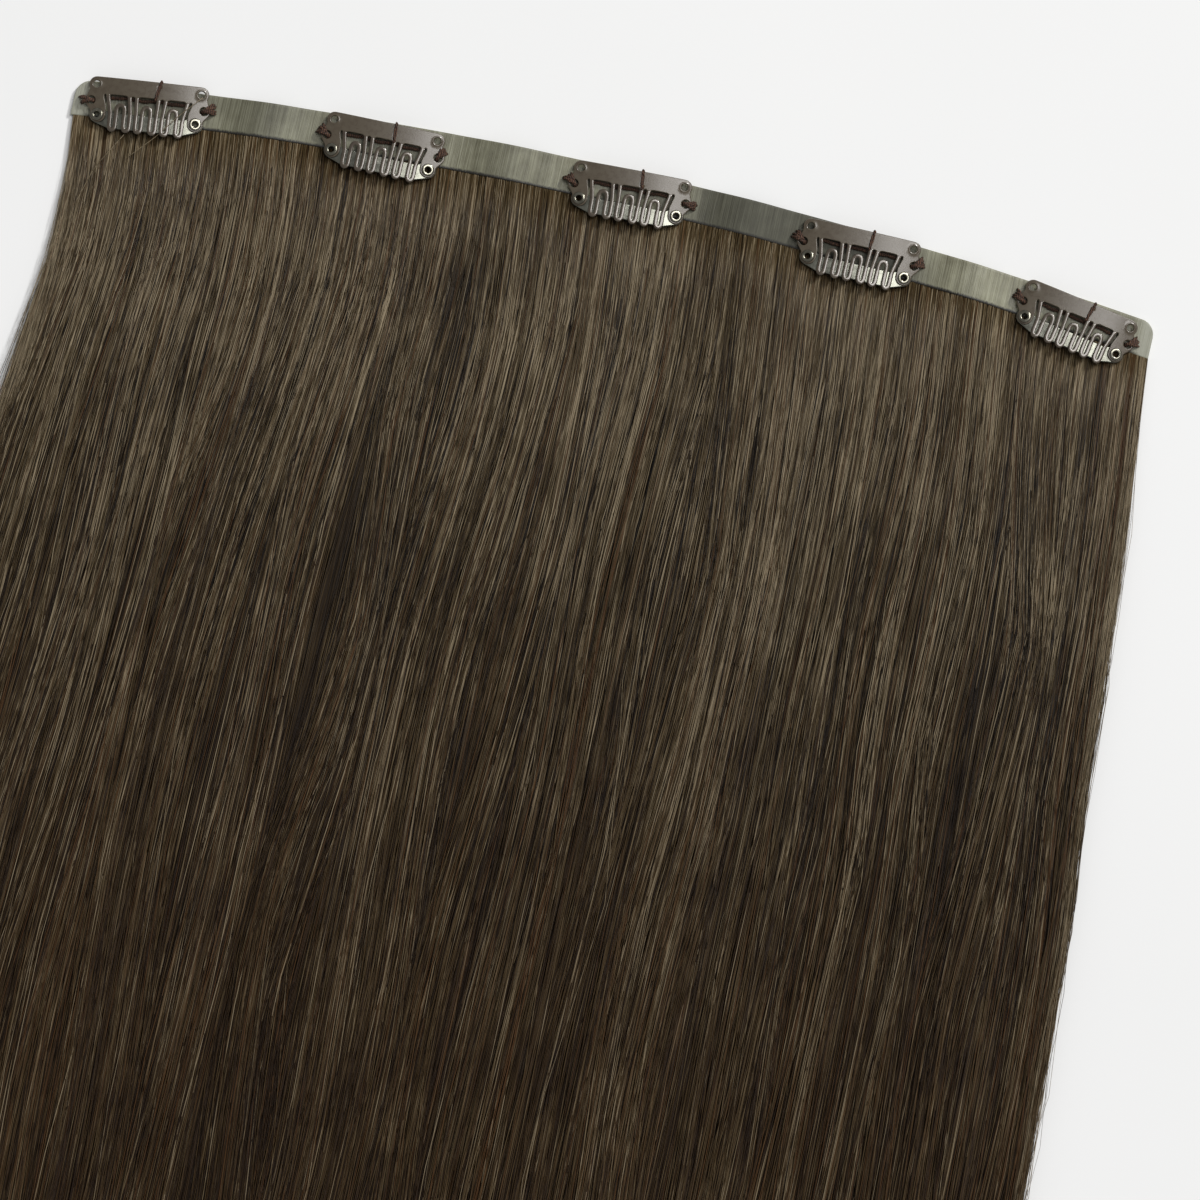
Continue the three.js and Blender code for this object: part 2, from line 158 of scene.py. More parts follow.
def grid_faces(rows, columns, close_rows=False, close_columns=False):
    """Four-cornered faces of a grid whose point (r, c) is number r * columns + c."""
    r = np.arange(rows if close_rows else rows - 1)
    c = np.arange(columns if close_columns else columns - 1)
    r, c = (part.ravel() for part in np.meshgrid(r, c, indexing="ij"))
    r_next, c_next = (r + 1) % rows, (c + 1) % columns
    return np.stack(
        [r * columns + c, r * columns + c_next, r_next * columns + c_next, r_next * columns + c], axis=1
    )


def many(faces, count, size):
    """The same faces for each of count copies of a shape of size points."""
    return (faces[None] + (np.arange(count) * size)[:, None, None]).reshape(-1, faces.shape[1])


def squarer(wave, power):
    """A sine or cosine, pushed towards -1 and 1 by a power below 1, which makes a round ring squarer."""
    return np.sign(wave) * np.abs(wave) ** power


def tubes(paths, radii, sides, lift=1.0, closed=False, level=(0.0, 0.0, 1.0), power=1.0):
    """Round strands along many paths at once. paths is (strand, step, 3) and radii (strand, step). At each
    step the ring is centre + radius * (cos a * side + sin a * lift * top), where side is square to the
    path and to the level direction, and top is square to both. A power below 1 on the sine and cosine
    makes the ring squarer. Open strands get a face at each end."""
    if closed:
        ahead = np.roll(paths, -1, axis=1) - np.roll(paths, 1, axis=1)
    else:
        ahead = np.gradient(paths, axis=1)
    ahead = ahead / np.linalg.norm(ahead, axis=2, keepdims=True)
    side = np.cross(ahead, np.array(level))
    side = side / np.linalg.norm(side, axis=2, keepdims=True)
    top = np.cross(side, ahead)
    angle = np.linspace(0, 2 * np.pi, sides, endpoint=False) + np.pi / 2
    wide = squarer(np.cos(angle)[:, None], power)
    high = lift * squarer(np.sin(angle)[:, None], power)
    ring = high * top[:, :, None, :] - wide * side[:, :, None, :]
    points = paths[:, :, None, :] + radii[:, :, None, None] * ring
    count, steps = paths.shape[:2]
    walls = many(grid_faces(steps, sides, close_rows=closed, close_columns=True), count, steps * sides)
    blocks = [walls]
    if not closed:
        first = np.arange(sides)[None, ::-1]
        last = (steps - 1) * sides + np.arange(sides)[None]
        blocks += [many(first, count, steps * sides), many(last, count, steps * sides)]
    return points.reshape(-1, 3), blocks


def joined(parts):
    """Several shapes, each points and blocks of faces, as one."""
    points, blocks, start = [], [], 0
    for part_points, part_blocks in parts:
        points.append(part_points)
        blocks += [block + start for block in part_blocks]
        start += len(part_points)
    return np.concatenate(points), blocks


def placed(points, matrix):
    """Points in a clip's own axes moved to where that clip is."""
    return points @ matrix[:3, :3].T + matrix[:3, 3]


# %% [markdown]
# Materials come next. Each is a Principled shader whose colour, roughness and bump are driven by noise in
# the piece's own coordinates. The strands, the mass of hair below them and the band with its pressed-in
# hair ends are all streaked along one direction, so one node group makes the streaks for the three of them,
# with its own number of lines in each.

# %% node helpers


def new_material(name):
    """A node material with its Principled shader and its tree."""
    material = bpy.data.materials.new(name)
    material.use_nodes = True
    tree = material.node_tree
    shader = next(node for node in tree.nodes if node.type == "BSDF_PRINCIPLED")
    return material, tree, shader


def node(tree, kind, values=None, **settings):
    """Adds a node, sets its properties, and sets or links its inputs by name."""
    made = tree.nodes.new(kind)
    for key, value in settings.items():
        setattr(made, key, value)
    for key, value in (values or {}).items():
        if isinstance(value, bpy.types.NodeSocket):
            tree.links.new(value, made.inputs[key])
        else:
            made.inputs[key].default_value = value
    return made


def ramp(tree, factor, stops):
    """A colour ramp through stops of (place, colour)."""
    made = node(tree, "ShaderNodeValToRGB", {"Fac": factor})
    elements = made.color_ramp.elements
    while len(elements) < len(stops):
        elements.new(0.5)
    for element, (place, colour) in zip(elements, stops):
        element.position = place
        element.color = (*colour, 1)
    return made.outputs["Color"]


def mixed(tree, factor, first, second, blend="MIX"):
    """Two colours mixed by a factor."""
    made = tree.nodes.new("ShaderNodeMix")
    made.data_type = "RGBA"
    made.blend_type = blend
    for socket, value in zip((made.inputs[0], made.inputs[6], made.inputs[7]), (factor, first, second)):
        if isinstance(value, bpy.types.NodeSocket):
            tree.links.new(value, socket)
        else:
            socket.default_value = (*value, 1) if isinstance(value, tuple) else value
    return made.outputs[2]


def calc(tree, operation, first, second):
    """One step of arithmetic on numbers or sockets."""
    return node(tree, "ShaderNodeMath", {0: first, 1: second}, operation=operation).outputs[0]


def total(tree, *terms):
    """The sum of several sockets, each times its own weight. A term is (socket, weight)."""
    parts = [calc(tree, "MULTIPLY", socket, weight) for socket, weight in terms]
    result = parts[0]
    for part in parts[1:]:
        result = calc(tree, "ADD", result, part)
    return result


def up_and_down(tree, noise_socket, weight):
    """Noise from 0 to 1 as a swing about nothing: (noise - 0.5) * weight."""
    return calc(tree, "MULTIPLY", calc(tree, "SUBTRACT", noise_socket, 0.5), weight)


def noise(tree, vector, scale, detail, roughness=0.5):
    """Cloudy noise from 0 to 1, whose largest blots are about 1 / scale metres wide."""
    values = {"Vector": vector, "Scale": scale, "Detail": detail, "Roughness": roughness}
    return node(tree, "ShaderNodeTexNoise", values).outputs["Fac"]


def carried(tree, name):
    """A number that the mesh carries at each of its points."""
    return node(tree, "ShaderNodeAttribute", attribute_name=name).outputs["Fac"]


def bump(tree, shader, height, strength, distance):
    """Feeds a height into the shader's normal."""
    made = node(tree, "ShaderNodeBump", {"Height": height, "Strength": strength, "Distance": distance})
    tree.links.new(made.outputs["Normal"], shader.inputs["Normal"])


def linear(*channels):
    """A colour given as screen values from 0 to 255, as the shader's linear values."""
    return tuple(round((channel / 255) ** 2.2, 4) for channel in channels)


STREAK_SQUEEZE = 0.02  # a streak is 50 times as long as it is wide


def streak_group():
    """Streaks: fine and broad noise on a coordinate that is squeezed along one axis, so that each blot of
    noise becomes a long line. Fine and Broad are the two patterns, from 0 to 1."""
    tree = bpy.data.node_groups.new("streaks", "ShaderNodeTree")
    face = tree.interface
    for name, kind in (("Vector", "NodeSocketVector"), ("Lines per metre", "NodeSocketFloat")):
        face.new_socket(name=name, in_out="INPUT", socket_type=kind)
    for name in ("Fine", "Broad"):
        face.new_socket(name=name, in_out="OUTPUT", socket_type="NodeSocketFloat")
    ends = node(tree, "NodeGroupInput"), node(tree, "NodeGroupOutput")
    factors = {0: ends[0].outputs["Vector"], 1: (1, STREAK_SQUEEZE, 1)}
    squeezed = node(tree, "ShaderNodeVectorMath", factors, operation="MULTIPLY").outputs[0]
    for name, share, detail in (("Fine", 1, 3.0), ("Broad", 0.12, 2.0)):
        scale = calc(tree, "MULTIPLY", ends[0].outputs["Lines per metre"], share)
        tree.links.new(noise(tree, squeezed, scale, detail, roughness=0.6), ends[1].inputs[name])
    return tree


STREAKS = streak_group()


def streaks(tree, vector, lines):
    """Places the streaks group in a material and returns its two outputs."""
    made = node(tree, "ShaderNodeGroup", {}, node_tree=STREAKS)
    tree.links.new(vector, made.inputs["Vector"])
    made.inputs["Lines per metre"].default_value = lines
    return made.outputs["Fine"], made.outputs["Broad"]


def object_vector(tree):
    """The piece's own coordinates, in metres."""
    return node(tree, "ShaderNodeTexCoord").outputs["Object"]


print("node group made:", STREAKS.name)

# %% [markdown]
# Hair has no one colour. Every strand has its own shade, from near black through a cool ash brown to a
# few pale and a few warm ones, and each strand changes a little along its length. The strand meshes carry
# that shade as an attribute, which the material turns into a colour by a ramp.

# %% hair materials
HAIR_DARK = linear(17, 10, 3)
HAIR_DEEP = linear(43, 32, 16)
HAIR_BROWN = linear(69, 56, 35)
HAIR_ASH = linear(96, 83, 61)
HAIR_PALE = linear(144, 130, 106)
HAIR_WARM = linear(84, 58, 34)
HAIR_LINES = 2600.0  # streaks to a metre


def strand_material():
    """The shade that each strand carries, plus slow noise, and short streaks of painted shade and painted
    highlight along it, as if it dipped below its neighbours and came up again, through the ramp of hair
    colours."""
    material, tree, shader = new_material("hair_strands")
    vector = object_vector(tree)
    fine, _ = streaks(tree, vector, HAIR_LINES)
    drift = up_and_down(tree, noise(tree, vector, 42.0, 3.0), 0.6)
    # Short streaks of painted shade and painted highlight along each strand.
    painted_dip_light = up_and_down(tree, fine, 1.5)
    place = calc(tree, "ADD", calc(tree, "ADD", carried(tree, "shade"), drift), painted_dip_light)
    stops = [(0.0, HAIR_DARK), (0.3, HAIR_DEEP), (0.55, HAIR_BROWN), (0.8, HAIR_ASH), (1.0, HAIR_PALE)]
    colour = ramp(tree, place, stops)
    toned = mixed(tree, carried(tree, "warm"), colour, HAIR_WARM)
    tree.links.new(toned, shader.inputs["Base Color"])
    shader.inputs["Roughness"].default_value = 0.42
    shader.inputs["Specular IOR Level"].default_value = 0.3
    return material


def underlayer_material():
    """The mass of hair below the top strands, in hair colours painted darker as shade, with fine and broad
    streaks along its length.
    """
    material, tree, shader = new_material("hair_underlayer")
    fine, broad = streaks(tree, object_vector(tree), HAIR_LINES)
    both = total(tree, (fine, 0.65), (broad, 0.4))
    colour = ramp(tree, both, [(0.35, HAIR_DARK), (0.6, HAIR_DEEP), (0.85, HAIR_BROWN)])
    tree.links.new(colour, shader.inputs["Base Color"])
    shader.inputs["Roughness"].default_value = 0.6
    shader.inputs["Specular IOR Level"].default_value = 0.2
    bump(tree, shader, fine, 0.8, 0.0004)
    return material


HAIR_STRANDS = strand_material()
HAIR_UNDER = underlayer_material()
print("hair materials:", HAIR_STRANDS.name, HAIR_UNDER.name)

# %% [markdown]
# The band is thin clear polyurethane with the hair's cut ends pressed into it, which show through as fine
# grey ribs across it. The clips are steel under taupe lacquer, the bars behind the combs are bare bright
# steel, the eyelets are plated, and the thread is a dull red brown.

# %% band, metal and thread materials
RIB_LINES = 3800.0  # ribs to a metre of band


def band_material():
    """Grey-green, with ribs from the streaks group, cloudy patches with painted light and shade along it,
    near-clear ends and a darker ragged line along its lower edge."""
    material, tree, shader = new_material("clear_band")
    vector = object_vector(tree)
    fine, broad = streaks(tree, vector, RIB_LINES)
    cloud = noise(tree, vector, 260.0, 6.0)
    edge, clear, tone = (carried(tree, name) for name in ("edge", "clear", "tone"))
    ribbed = total(tree, (fine, 0.5), (broad, 0.25), (cloud, 0.25))
    stops = [(0.34, linear(88, 85, 66)), (0.5, linear(126, 124, 103)), (0.68, linear(162, 161, 138))]
    ribs = ramp(tree, ribbed, stops)
    # patchy is the band's painted light and shade from its table, plus cloudy noise.
    patchy = calc(tree, "ADD", tone, up_and_down(tree, noise(tree, vector, 45.0, 2.0), 0.9))
    shade = ramp(tree, patchy, [(0.0, (0.28, 0.28, 0.27)), (0.5, (0.7, 0.7, 0.69)), (1.0, (1, 1, 1))])
    shaded = mixed(tree, 1.0, ribs, shade, blend="MULTIPLY")
    lit = mixed(tree, calc(tree, "MULTIPLY", clear, 0.8), shaded, linear(150, 150, 136))
    # The lower edge is painted darker in a ragged line, fading out at the clear ends.
    ragged = total(tree, (edge, 1.5), (fine, 1.2))
    over = calc(tree, "MULTIPLY", calc(tree, "SUBTRACT", ragged, 1.15), 2.2)
    seam = node(tree, "ShaderNodeClamp", {"Value": over}).outputs[0]
    fading = calc(tree, "MULTIPLY", seam, calc(tree, "SUBTRACT", 1.0, clear))
    dark = mixed(tree, fading, lit, linear(34, 32, 26))
    tree.links.new(dark, shader.inputs["Base Color"])
    matt = {"Value": tone, "From Min": -0.4, "To Min": 0.6, "To Max": 0.34}
    tree.links.new(node(tree, "ShaderNodeMapRange", matt).outputs[0], shader.inputs["Roughness"])
    shader.inputs["Specular IOR Level"].default_value = 0.5
    bump(tree, shader, total(tree, (fine, 1.0), (cloud, 0.9)), 0.4, 0.00025)
    return material


def metal_material(name, colour, worn, metallic, roughness, coat=0.0, coat_roughness=0.18):
    """Metal or lacquer with faint cloudy wear: a second tone and a rougher touch where noise is high."""
    material, tree, shader = new_material(name)
    vector = object_vector(tree)
    wear, marks = noise(tree, vector, 900.0, 4.0), noise(tree, vector, 5000.0, 2.0)
    tree.links.new(ramp(tree, wear, [(0.35, colour), (0.75, worn)]), shader.inputs["Base Color"])
    uneven = calc(tree, "ADD", calc(tree, "MULTIPLY", wear, 0.16), roughness - 0.08)
    tree.links.new(uneven, shader.inputs["Roughness"])
    shader.inputs["Metallic"].default_value = metallic
    shader.inputs["Coat Weight"].default_value = coat
    shader.inputs["Coat Roughness"].default_value = coat_roughness
    bump(tree, shader, marks, 0.12, 0.00002)
    return material


def thread_material():
    """Spun thread: a bent wave for its fibres, and fuzz over it."""
    material, tree, shader = new_material("sewing_thread")
    vector = object_vector(tree)
    wave = node(tree, "ShaderNodeTexWave", {"Vector": vector, "Scale": 700.0, "Distortion": 3.0})
    fuzz = noise(tree, vector, 4000.0, 3.0)
    tone = total(tree, (wave.outputs["Fac"], 0.2), (fuzz, 0.9))
    stops = [(0.3, linear(22, 14, 9)), (0.52, linear(52, 34, 24)), (0.8, linear(112, 80, 60))]
    colour = ramp(tree, tone, stops)
    tree.links.new(colour, shader.inputs["Base Color"])
    shader.inputs["Roughness"].default_value = 0.75
    bump(tree, shader, wave.outputs["Fac"], 0.6, 0.00008)
    return material


CLEAR_BAND = band_material()
CLIP_LACQUER = metal_material("clip_lacquer", linear(79, 70, 58), linear(86, 78, 65), 0.1, 0.28, 0.42)
WIRE_LACQUER = metal_material("wire_lacquer", linear(72, 63, 53), linear(88, 79, 67), 0.32, 0.26, 1.0, 0.09)
BAR_STEEL = metal_material("bar_steel", linear(116, 116, 107), linear(146, 146, 135), 1.0, 0.24)
EYELET_PLATE = metal_material("eyelet_plating", linear(124, 121, 109), linear(156, 153, 139), 1.0, 0.2)
THREAD = thread_material()
print("materials:", len(bpy.data.materials))

# %% [markdown]
# The camera looks straight down, turned so that the band runs down to the right, and it takes in the band
# and the upper part of the hair. A long lens keeps the view rays nearly parallel, so that every clip
# catches the light alike. A wide soft light stands up and to the right. A smaller one stands further out,
# so its light comes in lower and deepens the shadows below the clips. A pale sky fills the shade.

# %% camera, light and floor
VIEW_MIDDLE = (12.88 * MM, 110.88 * MM)
VIEW_WIDTH = 264.5 * MM
VIEW_TURN = math.radians(12.8)
LENS = 150.0
SENSOR = 36.0
camera = bpy.data.objects.new("camera", bpy.data.cameras.new("camera"))
camera.data.lens = LENS
camera.data.sensor_width = SENSOR
camera.data.clip_end = 20.0
camera.location = (*VIEW_MIDDLE, VIEW_WIDTH * LENS / SENSOR + 3 * MM)
camera.rotation_euler = (0.0, 0.0, VIEW_TURN)
scene.collection.objects.link(camera)
scene.camera = camera


def soft_light(name, across, up, height, size, power):
    """A square light at a place given in the picture's own directions, turned to face the hair."""
    lamp = bpy.data.objects.new(name, bpy.data.lights.new(name, "AREA"))
    lamp.data.shape = "SQUARE"
    lamp.data.size = size
    lamp.data.energy = power
    x = across * math.cos(VIEW_TURN) - up * math.sin(VIEW_TURN)
    y = across * math.sin(VIEW_TURN) + up * math.cos(VIEW_TURN)
    lamp.location = (VIEW_MIDDLE[0] + x, VIEW_MIDDLE[1] + y, height)
    lamp.rotation_euler = Vector((x, y, height)).to_track_quat("Z", "Y").to_euler()
    scene.collection.objects.link(lamp)


soft_light("key_light", 1.32, 1.0, 4.25, 2.0, 84.0)
soft_light("low_light", 4.5, 3.6, 4.5, 0.9, 310.0)
world = bpy.data.worlds.new("sky")
world.use_nodes = True
scene.world = world
sky = next(node for node in world.node_tree.nodes if node.type == "BACKGROUND")
sky.inputs["Color"].default_value = (1.0, 1.0, 1.0, 1)
sky.inputs["Strength"].default_value = 0.25


def floor_material():
    """Matt near-white paper with a faint cloud in its tone."""
    material, tree, shader = new_material("pale_paper")
    cloud = noise(tree, object_vector(tree), 6.0, 2.0)
    tone = ramp(tree, cloud, [(0.3, (0.9, 0.9, 0.895)), (0.7, (0.92, 0.92, 0.915))])
    tree.links.new(tone, shader.inputs["Base Color"])
    shader.inputs["Roughness"].default_value = 0.9
    shader.inputs["Specular IOR Level"].default_value = 0.1
    return material


FLOOR_HALF = 3.0
floor_corners = FLOOR_HALF * np.array([(-1, -1, 0), (1, -1, 0), (1, 1, 0), (-1, 1, 0)], dtype=float)
floor_corners[:, 2] = -0.1 * MM
floor = make_piece("floor", floor_corners, [np.array([[0, 1, 2, 3]])], floor_material(), body=None)
print("camera", round(camera.location.z, 3), "m up, over a frame", round(VIEW_WIDTH / MM, 1), "mm wide")

# %% [markdown]
# The band is one long strip. Its cross-section is a flat loop with round edges, carried along the bow and
# the humps. Real film is never quite even, so small random waves along it give broad patches of light and
# shade, and finer ones give the ribs of the hair ends inside.

# %% the band
RIB_STEP = 0.45 * MM
EDGE_ROUND = 0.28 * MM
UPPER_ROWS = (0.03, 0.12, 0.35, 0.6, 0.8, 0.87, 0.91, 0.95, 0.98)
CORNER = 3 * MM
DARK_EDGE_HEIGHT = 1.3 * MM  # the darker ragged line along the lower edge
CLEAR_END = 4.5 * MM  # no hair is pressed into this much of each end
CLEAR_FADE = 2.5 * MM
# Painted light and shade along the band: at each place from -1 to 1, how much lighter or darker it is painted
# between the clips.
BAND_LIGHT_AT = (-1, -0.72, -0.6, -0.35, -0.2, -0.05, 0.12, 0.2, 0.38, 0.55, 0.62, 0.8, 1)
BAND_PAINTED_LIGHT = (0.75, 0.35, 0.5, 0.75, 0.5, 0.85, 0.55, -0.4, -0.4, 0.3, 0.95, 1.15, 0.8)


def waves(x, lengths, heights, seed):
    """A sum of sines along x, with a random phase for each wavelength."""
    phases = np.random.default_rng(seed).uniform(0, 2 * np.pi, len(lengths))
    return sum(h * np.sin(2 * np.pi * x / w + p) for w, h, p in zip(lengths, heights, phases))


def set_values(piece, name, values):
    """Stores one number for each point of a piece, for its material to read."""
    attribute = piece.data.attributes.new(name, "FLOAT", "POINT")
    attribute.data.foreach_set("value", np.ascontiguousarray(values, dtype=np.float32).ravel())


def band_section(top, bottom):
    """The strip's cross-section at every place along it: rows of Y and of height from the strip's middle,
    down the upper side, round the lower edge, back below and round the top edge."""
    half = BAND_THICKNESS / 2
    turn = np.radians([0, 30, 60, 90])
    into, level = EDGE_ROUND * (1 - np.sin(turn)), half - EDGE_ROUND * (1 - np.cos(turn))
    over_y, over_z = [top - step for step in into[::-1]], list(level[::-1])
    for share in UPPER_ROWS:
        over_y.append(top - EDGE_ROUND + (bottom - top + 2 * EDGE_ROUND) * share)
        over_z.append(half)
    over_y += [bottom + step for step in into]
    over_z += list(level)
    y = np.stack(over_y + over_y[::-1], axis=1)
    return y, np.array(over_z + [-height for height in over_z[::-1]])


def band_piece():
    """The strip: at each place along it, top edge = bow less the corner's round cut, and height off the
    table = hump + half the thickness + the section's own height + the small waves on its upper side."""
    fine, coarse = np.arange(0, 4 * RIB_STEP, RIB_STEP / 4), np.arange(4 * RIB_STEP, BAND_HALF, RIB_STEP)
    x = np.concatenate([fine, coarse])
    x = np.concatenate([-BAND_HALF + x, BAND_HALF - x[::-1]])
    into = np.minimum(BAND_HALF - np.abs(x), CORNER)
    cut = CORNER - np.sqrt(CORNER**2 - (CORNER - into) ** 2)
    top, bottom = band_edge(x) - cut, band_edge(x) - BAND_HEIGHT
    y, level = band_section(top, bottom)
    swell = waves(x, (37 * MM, 19 * MM, 9.3 * MM), (0.06 * MM, 0.05 * MM, 0.02 * MM), 11)
    ribs = waves(x, (2.3 * MM, 1.3 * MM, 0.9 * MM), (0.01 * MM, 0.008 * MM, 0.008 * MM), 12)
    z = level[None] + (swell + ribs)[:, None] * (level > 0) + band_lift(x)[:, None] + BAND_THICKNESS / 2
    points = np.stack([np.broadcast_to((x + BAND_MIDDLE)[:, None], y.shape), y, z], axis=2)
    count = y.shape[1]
    ends = [np.arange(count)[None, ::-1], (len(x) - 1) * count + np.arange(count)[None]]
    faces = [grid_faces(len(x), count, close_columns=True)] + ends
    piece = make_piece("band", points.reshape(-1, 3), faces, CLEAR_BAND)
    set_values(piece, "edge", np.clip(1 - (y - bottom[:, None]) / DARK_EDGE_HEIGHT, 0, 1))
    beyond = np.clip((np.abs(x) - (BAND_HALF - CLEAR_END)) / CLEAR_FADE, 0, 1)
    set_values(piece, "clear", np.broadcast_to(beyond[:, None], y.shape))
    set_values(piece, "tone", np.broadcast_to(np.interp(x / BAND_HALF, BAND_LIGHT_AT, BAND_PAINTED_LIGHT)[:, None], y.shape))
    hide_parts("tape")
    return piece


band = band_piece()
print("band points:", len(band.data.vertices))

# %% [markdown]
# A snap clip is stamped from one springy sheet: a centre plate with a comb of wire-thin teeth, and an ear
# at each end, joined to the plate by a short neck that twists when the comb snaps over. Its sheets are
# made from outlines. An outline is resampled and averaged, which rounds its corners, then a round edge is
# rolled along it, and the flat inside is filled with triangles small enough to follow the clip's arch.

# %% sheet metal helpers
ARCH_RISE = 1.23
ARCH_POWER = 2.2
CLIP_HALF_MM = CLIP_HALF / MM
RIM = 0.13  # how far in the round edge of a sheet reaches
FILL_STEP = 0.7  # between the points that fill a sheet
FILL_CLEAR = 0.25  # from those points to the sheet's edges


def arch(x):
    """Height of the clip's arch in mm, at x mm from its middle: highest there, and none at its ends."""
    return ARCH_RISE * (1 - np.clip(np.abs(x) / CLIP_HALF_MM, 0, 1.1) ** ARCH_POWER)


def arc(x, y, radius, start, stop, count=14):
    """Points on a round arc, with its angles in degrees."""
    angle = np.radians(np.linspace(start, stop, count))
    return np.stack([x + radius * np.cos(angle), y + radius * np.sin(angle)], axis=1)


def resampled(points, step, rounds, closed):
    """Points every step along a line through corners, each then averaged with its neighbours a few times,
    which rounds the corners."""
    line = np.vstack([points, points[:1]]) if closed else np.array(points, dtype=float)
    along = np.concatenate([[0], np.cumsum(np.linalg.norm(np.diff(line, axis=0), axis=1))])
    count = int(round(along[-1] / step))
    places = np.linspace(0, along[-1], count, endpoint=not closed)
    even = np.stack([np.interp(places, along, line[:, i]) for i in range(line.shape[1])], axis=1)
    for _ in range(rounds):
        if closed:
            even = (np.roll(even, 1, axis=0) + 2 * even + np.roll(even, -1, axis=0)) / 4
        else:
            even[1:-1] = (even[:-2] + 2 * even[1:-1] + even[2:]) / 4
    return even


def on_metal(points, loops):
    """True where a point lies inside the outline and outside the holes: a level line from it to the right
    crosses the loops an odd number of times."""
    crossings = np.zeros(len(points), dtype=int)
    for loop in loops:
        start, stop = loop, np.roll(loop, -1, axis=0)
        height = points[:, 1, None]
        spans = (start[:, 1] > height) != (stop[:, 1] > height)
        rise = np.where(stop[:, 1] == start[:, 1], 1.0, stop[:, 1] - start[:, 1])
        at = start[:, 0] + (height - start[:, 1]) * (stop[:, 0] - start[:, 0]) / rise
        crossings += (spans & (at > points[:, 0, None])).sum(axis=1)
    return crossings % 2 == 1


def pressed_sheet(loops, thickness, lips=()):
    """A sheet with round edges. Each loop runs with the metal on its left. Round a loop, ring after ring
    goes from the underside over the edge to the top: inset = RIM * (1 - cos a), height = half * sin a.
    A loop whose number is in lips gets a raised collar. Triangles fill top and underside."""
    half = thickness / 2
    edge = [(RIM * (1 - math.cos(a)), half * math.sin(a)) for a in np.radians([-90, -50, 0, 50, 90])]
    plain = [(0.22, -half)] + edge + [(0.22, half)]
    collar = [(0.14, half + 0.07), (0.28, half + 0.09), (0.4, half + 0.03), (0.5, half)]
    lip = [(0.5, -half)] + edge[:-1] + collar
    points, blocks, borders, start = [], [], [], 0
    for number, loop in enumerate(loops):
        ahead = np.roll(loop, -1, axis=0) - np.roll(loop, 1, axis=0)
        ahead = ahead / np.linalg.norm(ahead, axis=1, keepdims=True)
        inwards = np.stack([-ahead[:, 1], ahead[:, 0]], axis=1)
        rings = lip if number in lips else plain
        for inset, height in rings:
            ring = loop + inset * inwards
            points.append(np.column_stack([ring, np.full(len(ring), height)]))
        blocks.append(grid_faces(len(rings), len(loop), close_columns=True) + start)
        borders.append((points[-1][:, :2], start, start + (len(rings) - 1) * len(loop)))
        start += len(rings) * len(loop)
    flat = np.concatenate([border[0] for border in borders])
    sizes = [len(border[0]) for border in borders]
    firsts = np.concatenate([[0], np.cumsum(sizes)[:-1]])
    links = [(np.arange(size), (np.arange(size) + 1) % size) for size in sizes]
    edges = np.concatenate([np.stack(link, axis=1) + first for link, first in zip(links, firsts)])
    low, high = flat.min(axis=0), flat.max(axis=0)
    across, down = (np.arange(low[i], high[i], FILL_STEP) for i in (0, 1))
    inner = np.stack(np.meshgrid(across, down), axis=2).reshape(-1, 2)
    apart = np.linalg.norm(inner[:, None] - flat[None], axis=2).min(axis=1)
    inner = inner[apart > FILL_CLEAR]
    everything = np.concatenate([flat, inner])
    result = delaunay_2d_cdt([Vector(p) for p in everything.tolist()], edges.tolist(), [], 0, 1e-5, True)
    source = np.array([ids[0] for ids in result[3]])
    triangles = source[np.array(result[2])]
    triangles = triangles[on_metal(everything[triangles].mean(axis=1), [border[0] for border in borders])]
    used = np.unique(triangles[triangles >= len(flat)])
    under, over = np.full(len(everything), -1), np.full(len(everything), -1)
    for (_, first_ring, last_ring), first, size in zip(borders, firsts, sizes):
        under[first : first + size] = first_ring + np.arange(size)
        over[first : first + size] = last_ring + np.arange(size)
    under[used] = start + np.arange(len(used))
    over[used] = start + len(used) + np.arange(len(used))
    for height in (-half, half):
        points.append(np.column_stack([everything[used], np.full(len(used), height)]))
    blocks += [over[triangles], under[triangles][:, ::-1]]
    return np.concatenate(points), blocks


def arched(points, middle):
    """Points of a flat sheet in mm, raised over the arch, with the sheet's middle at the height given."""
    raised = np.array(points, dtype=float)
    raised[:, 2] += middle + arch(raised[:, 0])
    return raised


print("the arch rises", ARCH_RISE, "mm over", CLIP_HALF_MM, "mm")

# %% [markdown]
# All lengths of a clip are in mm from the middle of its top edge, and the right half's outline is mirrored
# for the left. The sheet is cut in two under the centre thread, and each half runs from the moving comb to
# its own sewn-down ear.

# %% the clip's outlines
SHEET_MIDDLE = 1.95
SHEET = 0.4
PLATE_DEPTH = 3.75
UPPER_HOLE = (11.6, -1.7, 0.75)
SEWING_HOLE = (12.5, -5.3, 0.9)
RIVET = (10.8, -8.35)
RIVET_HOLE = 0.95
WIRE_ROOTS = (8.87, 4.02, 2.42)
FLARE = 0.62
FLARE_HALF = 0.78
OUTLINE_STEP = 0.18


def lower_edge(x):
    """The plate's lower edge: level, and drawn down in a smooth flare at the root of each comb wire."""
    roots = np.array(WIRE_ROOTS + tuple(-root for root in WIRE_ROOTS))
    apart = np.clip(np.abs(x[:, None] - roots) / FLARE_HALF, 0, 1)
    return -PLATE_DEPTH - FLARE * (np.cos(np.pi / 2 * apart) ** 2).sum(axis=1)


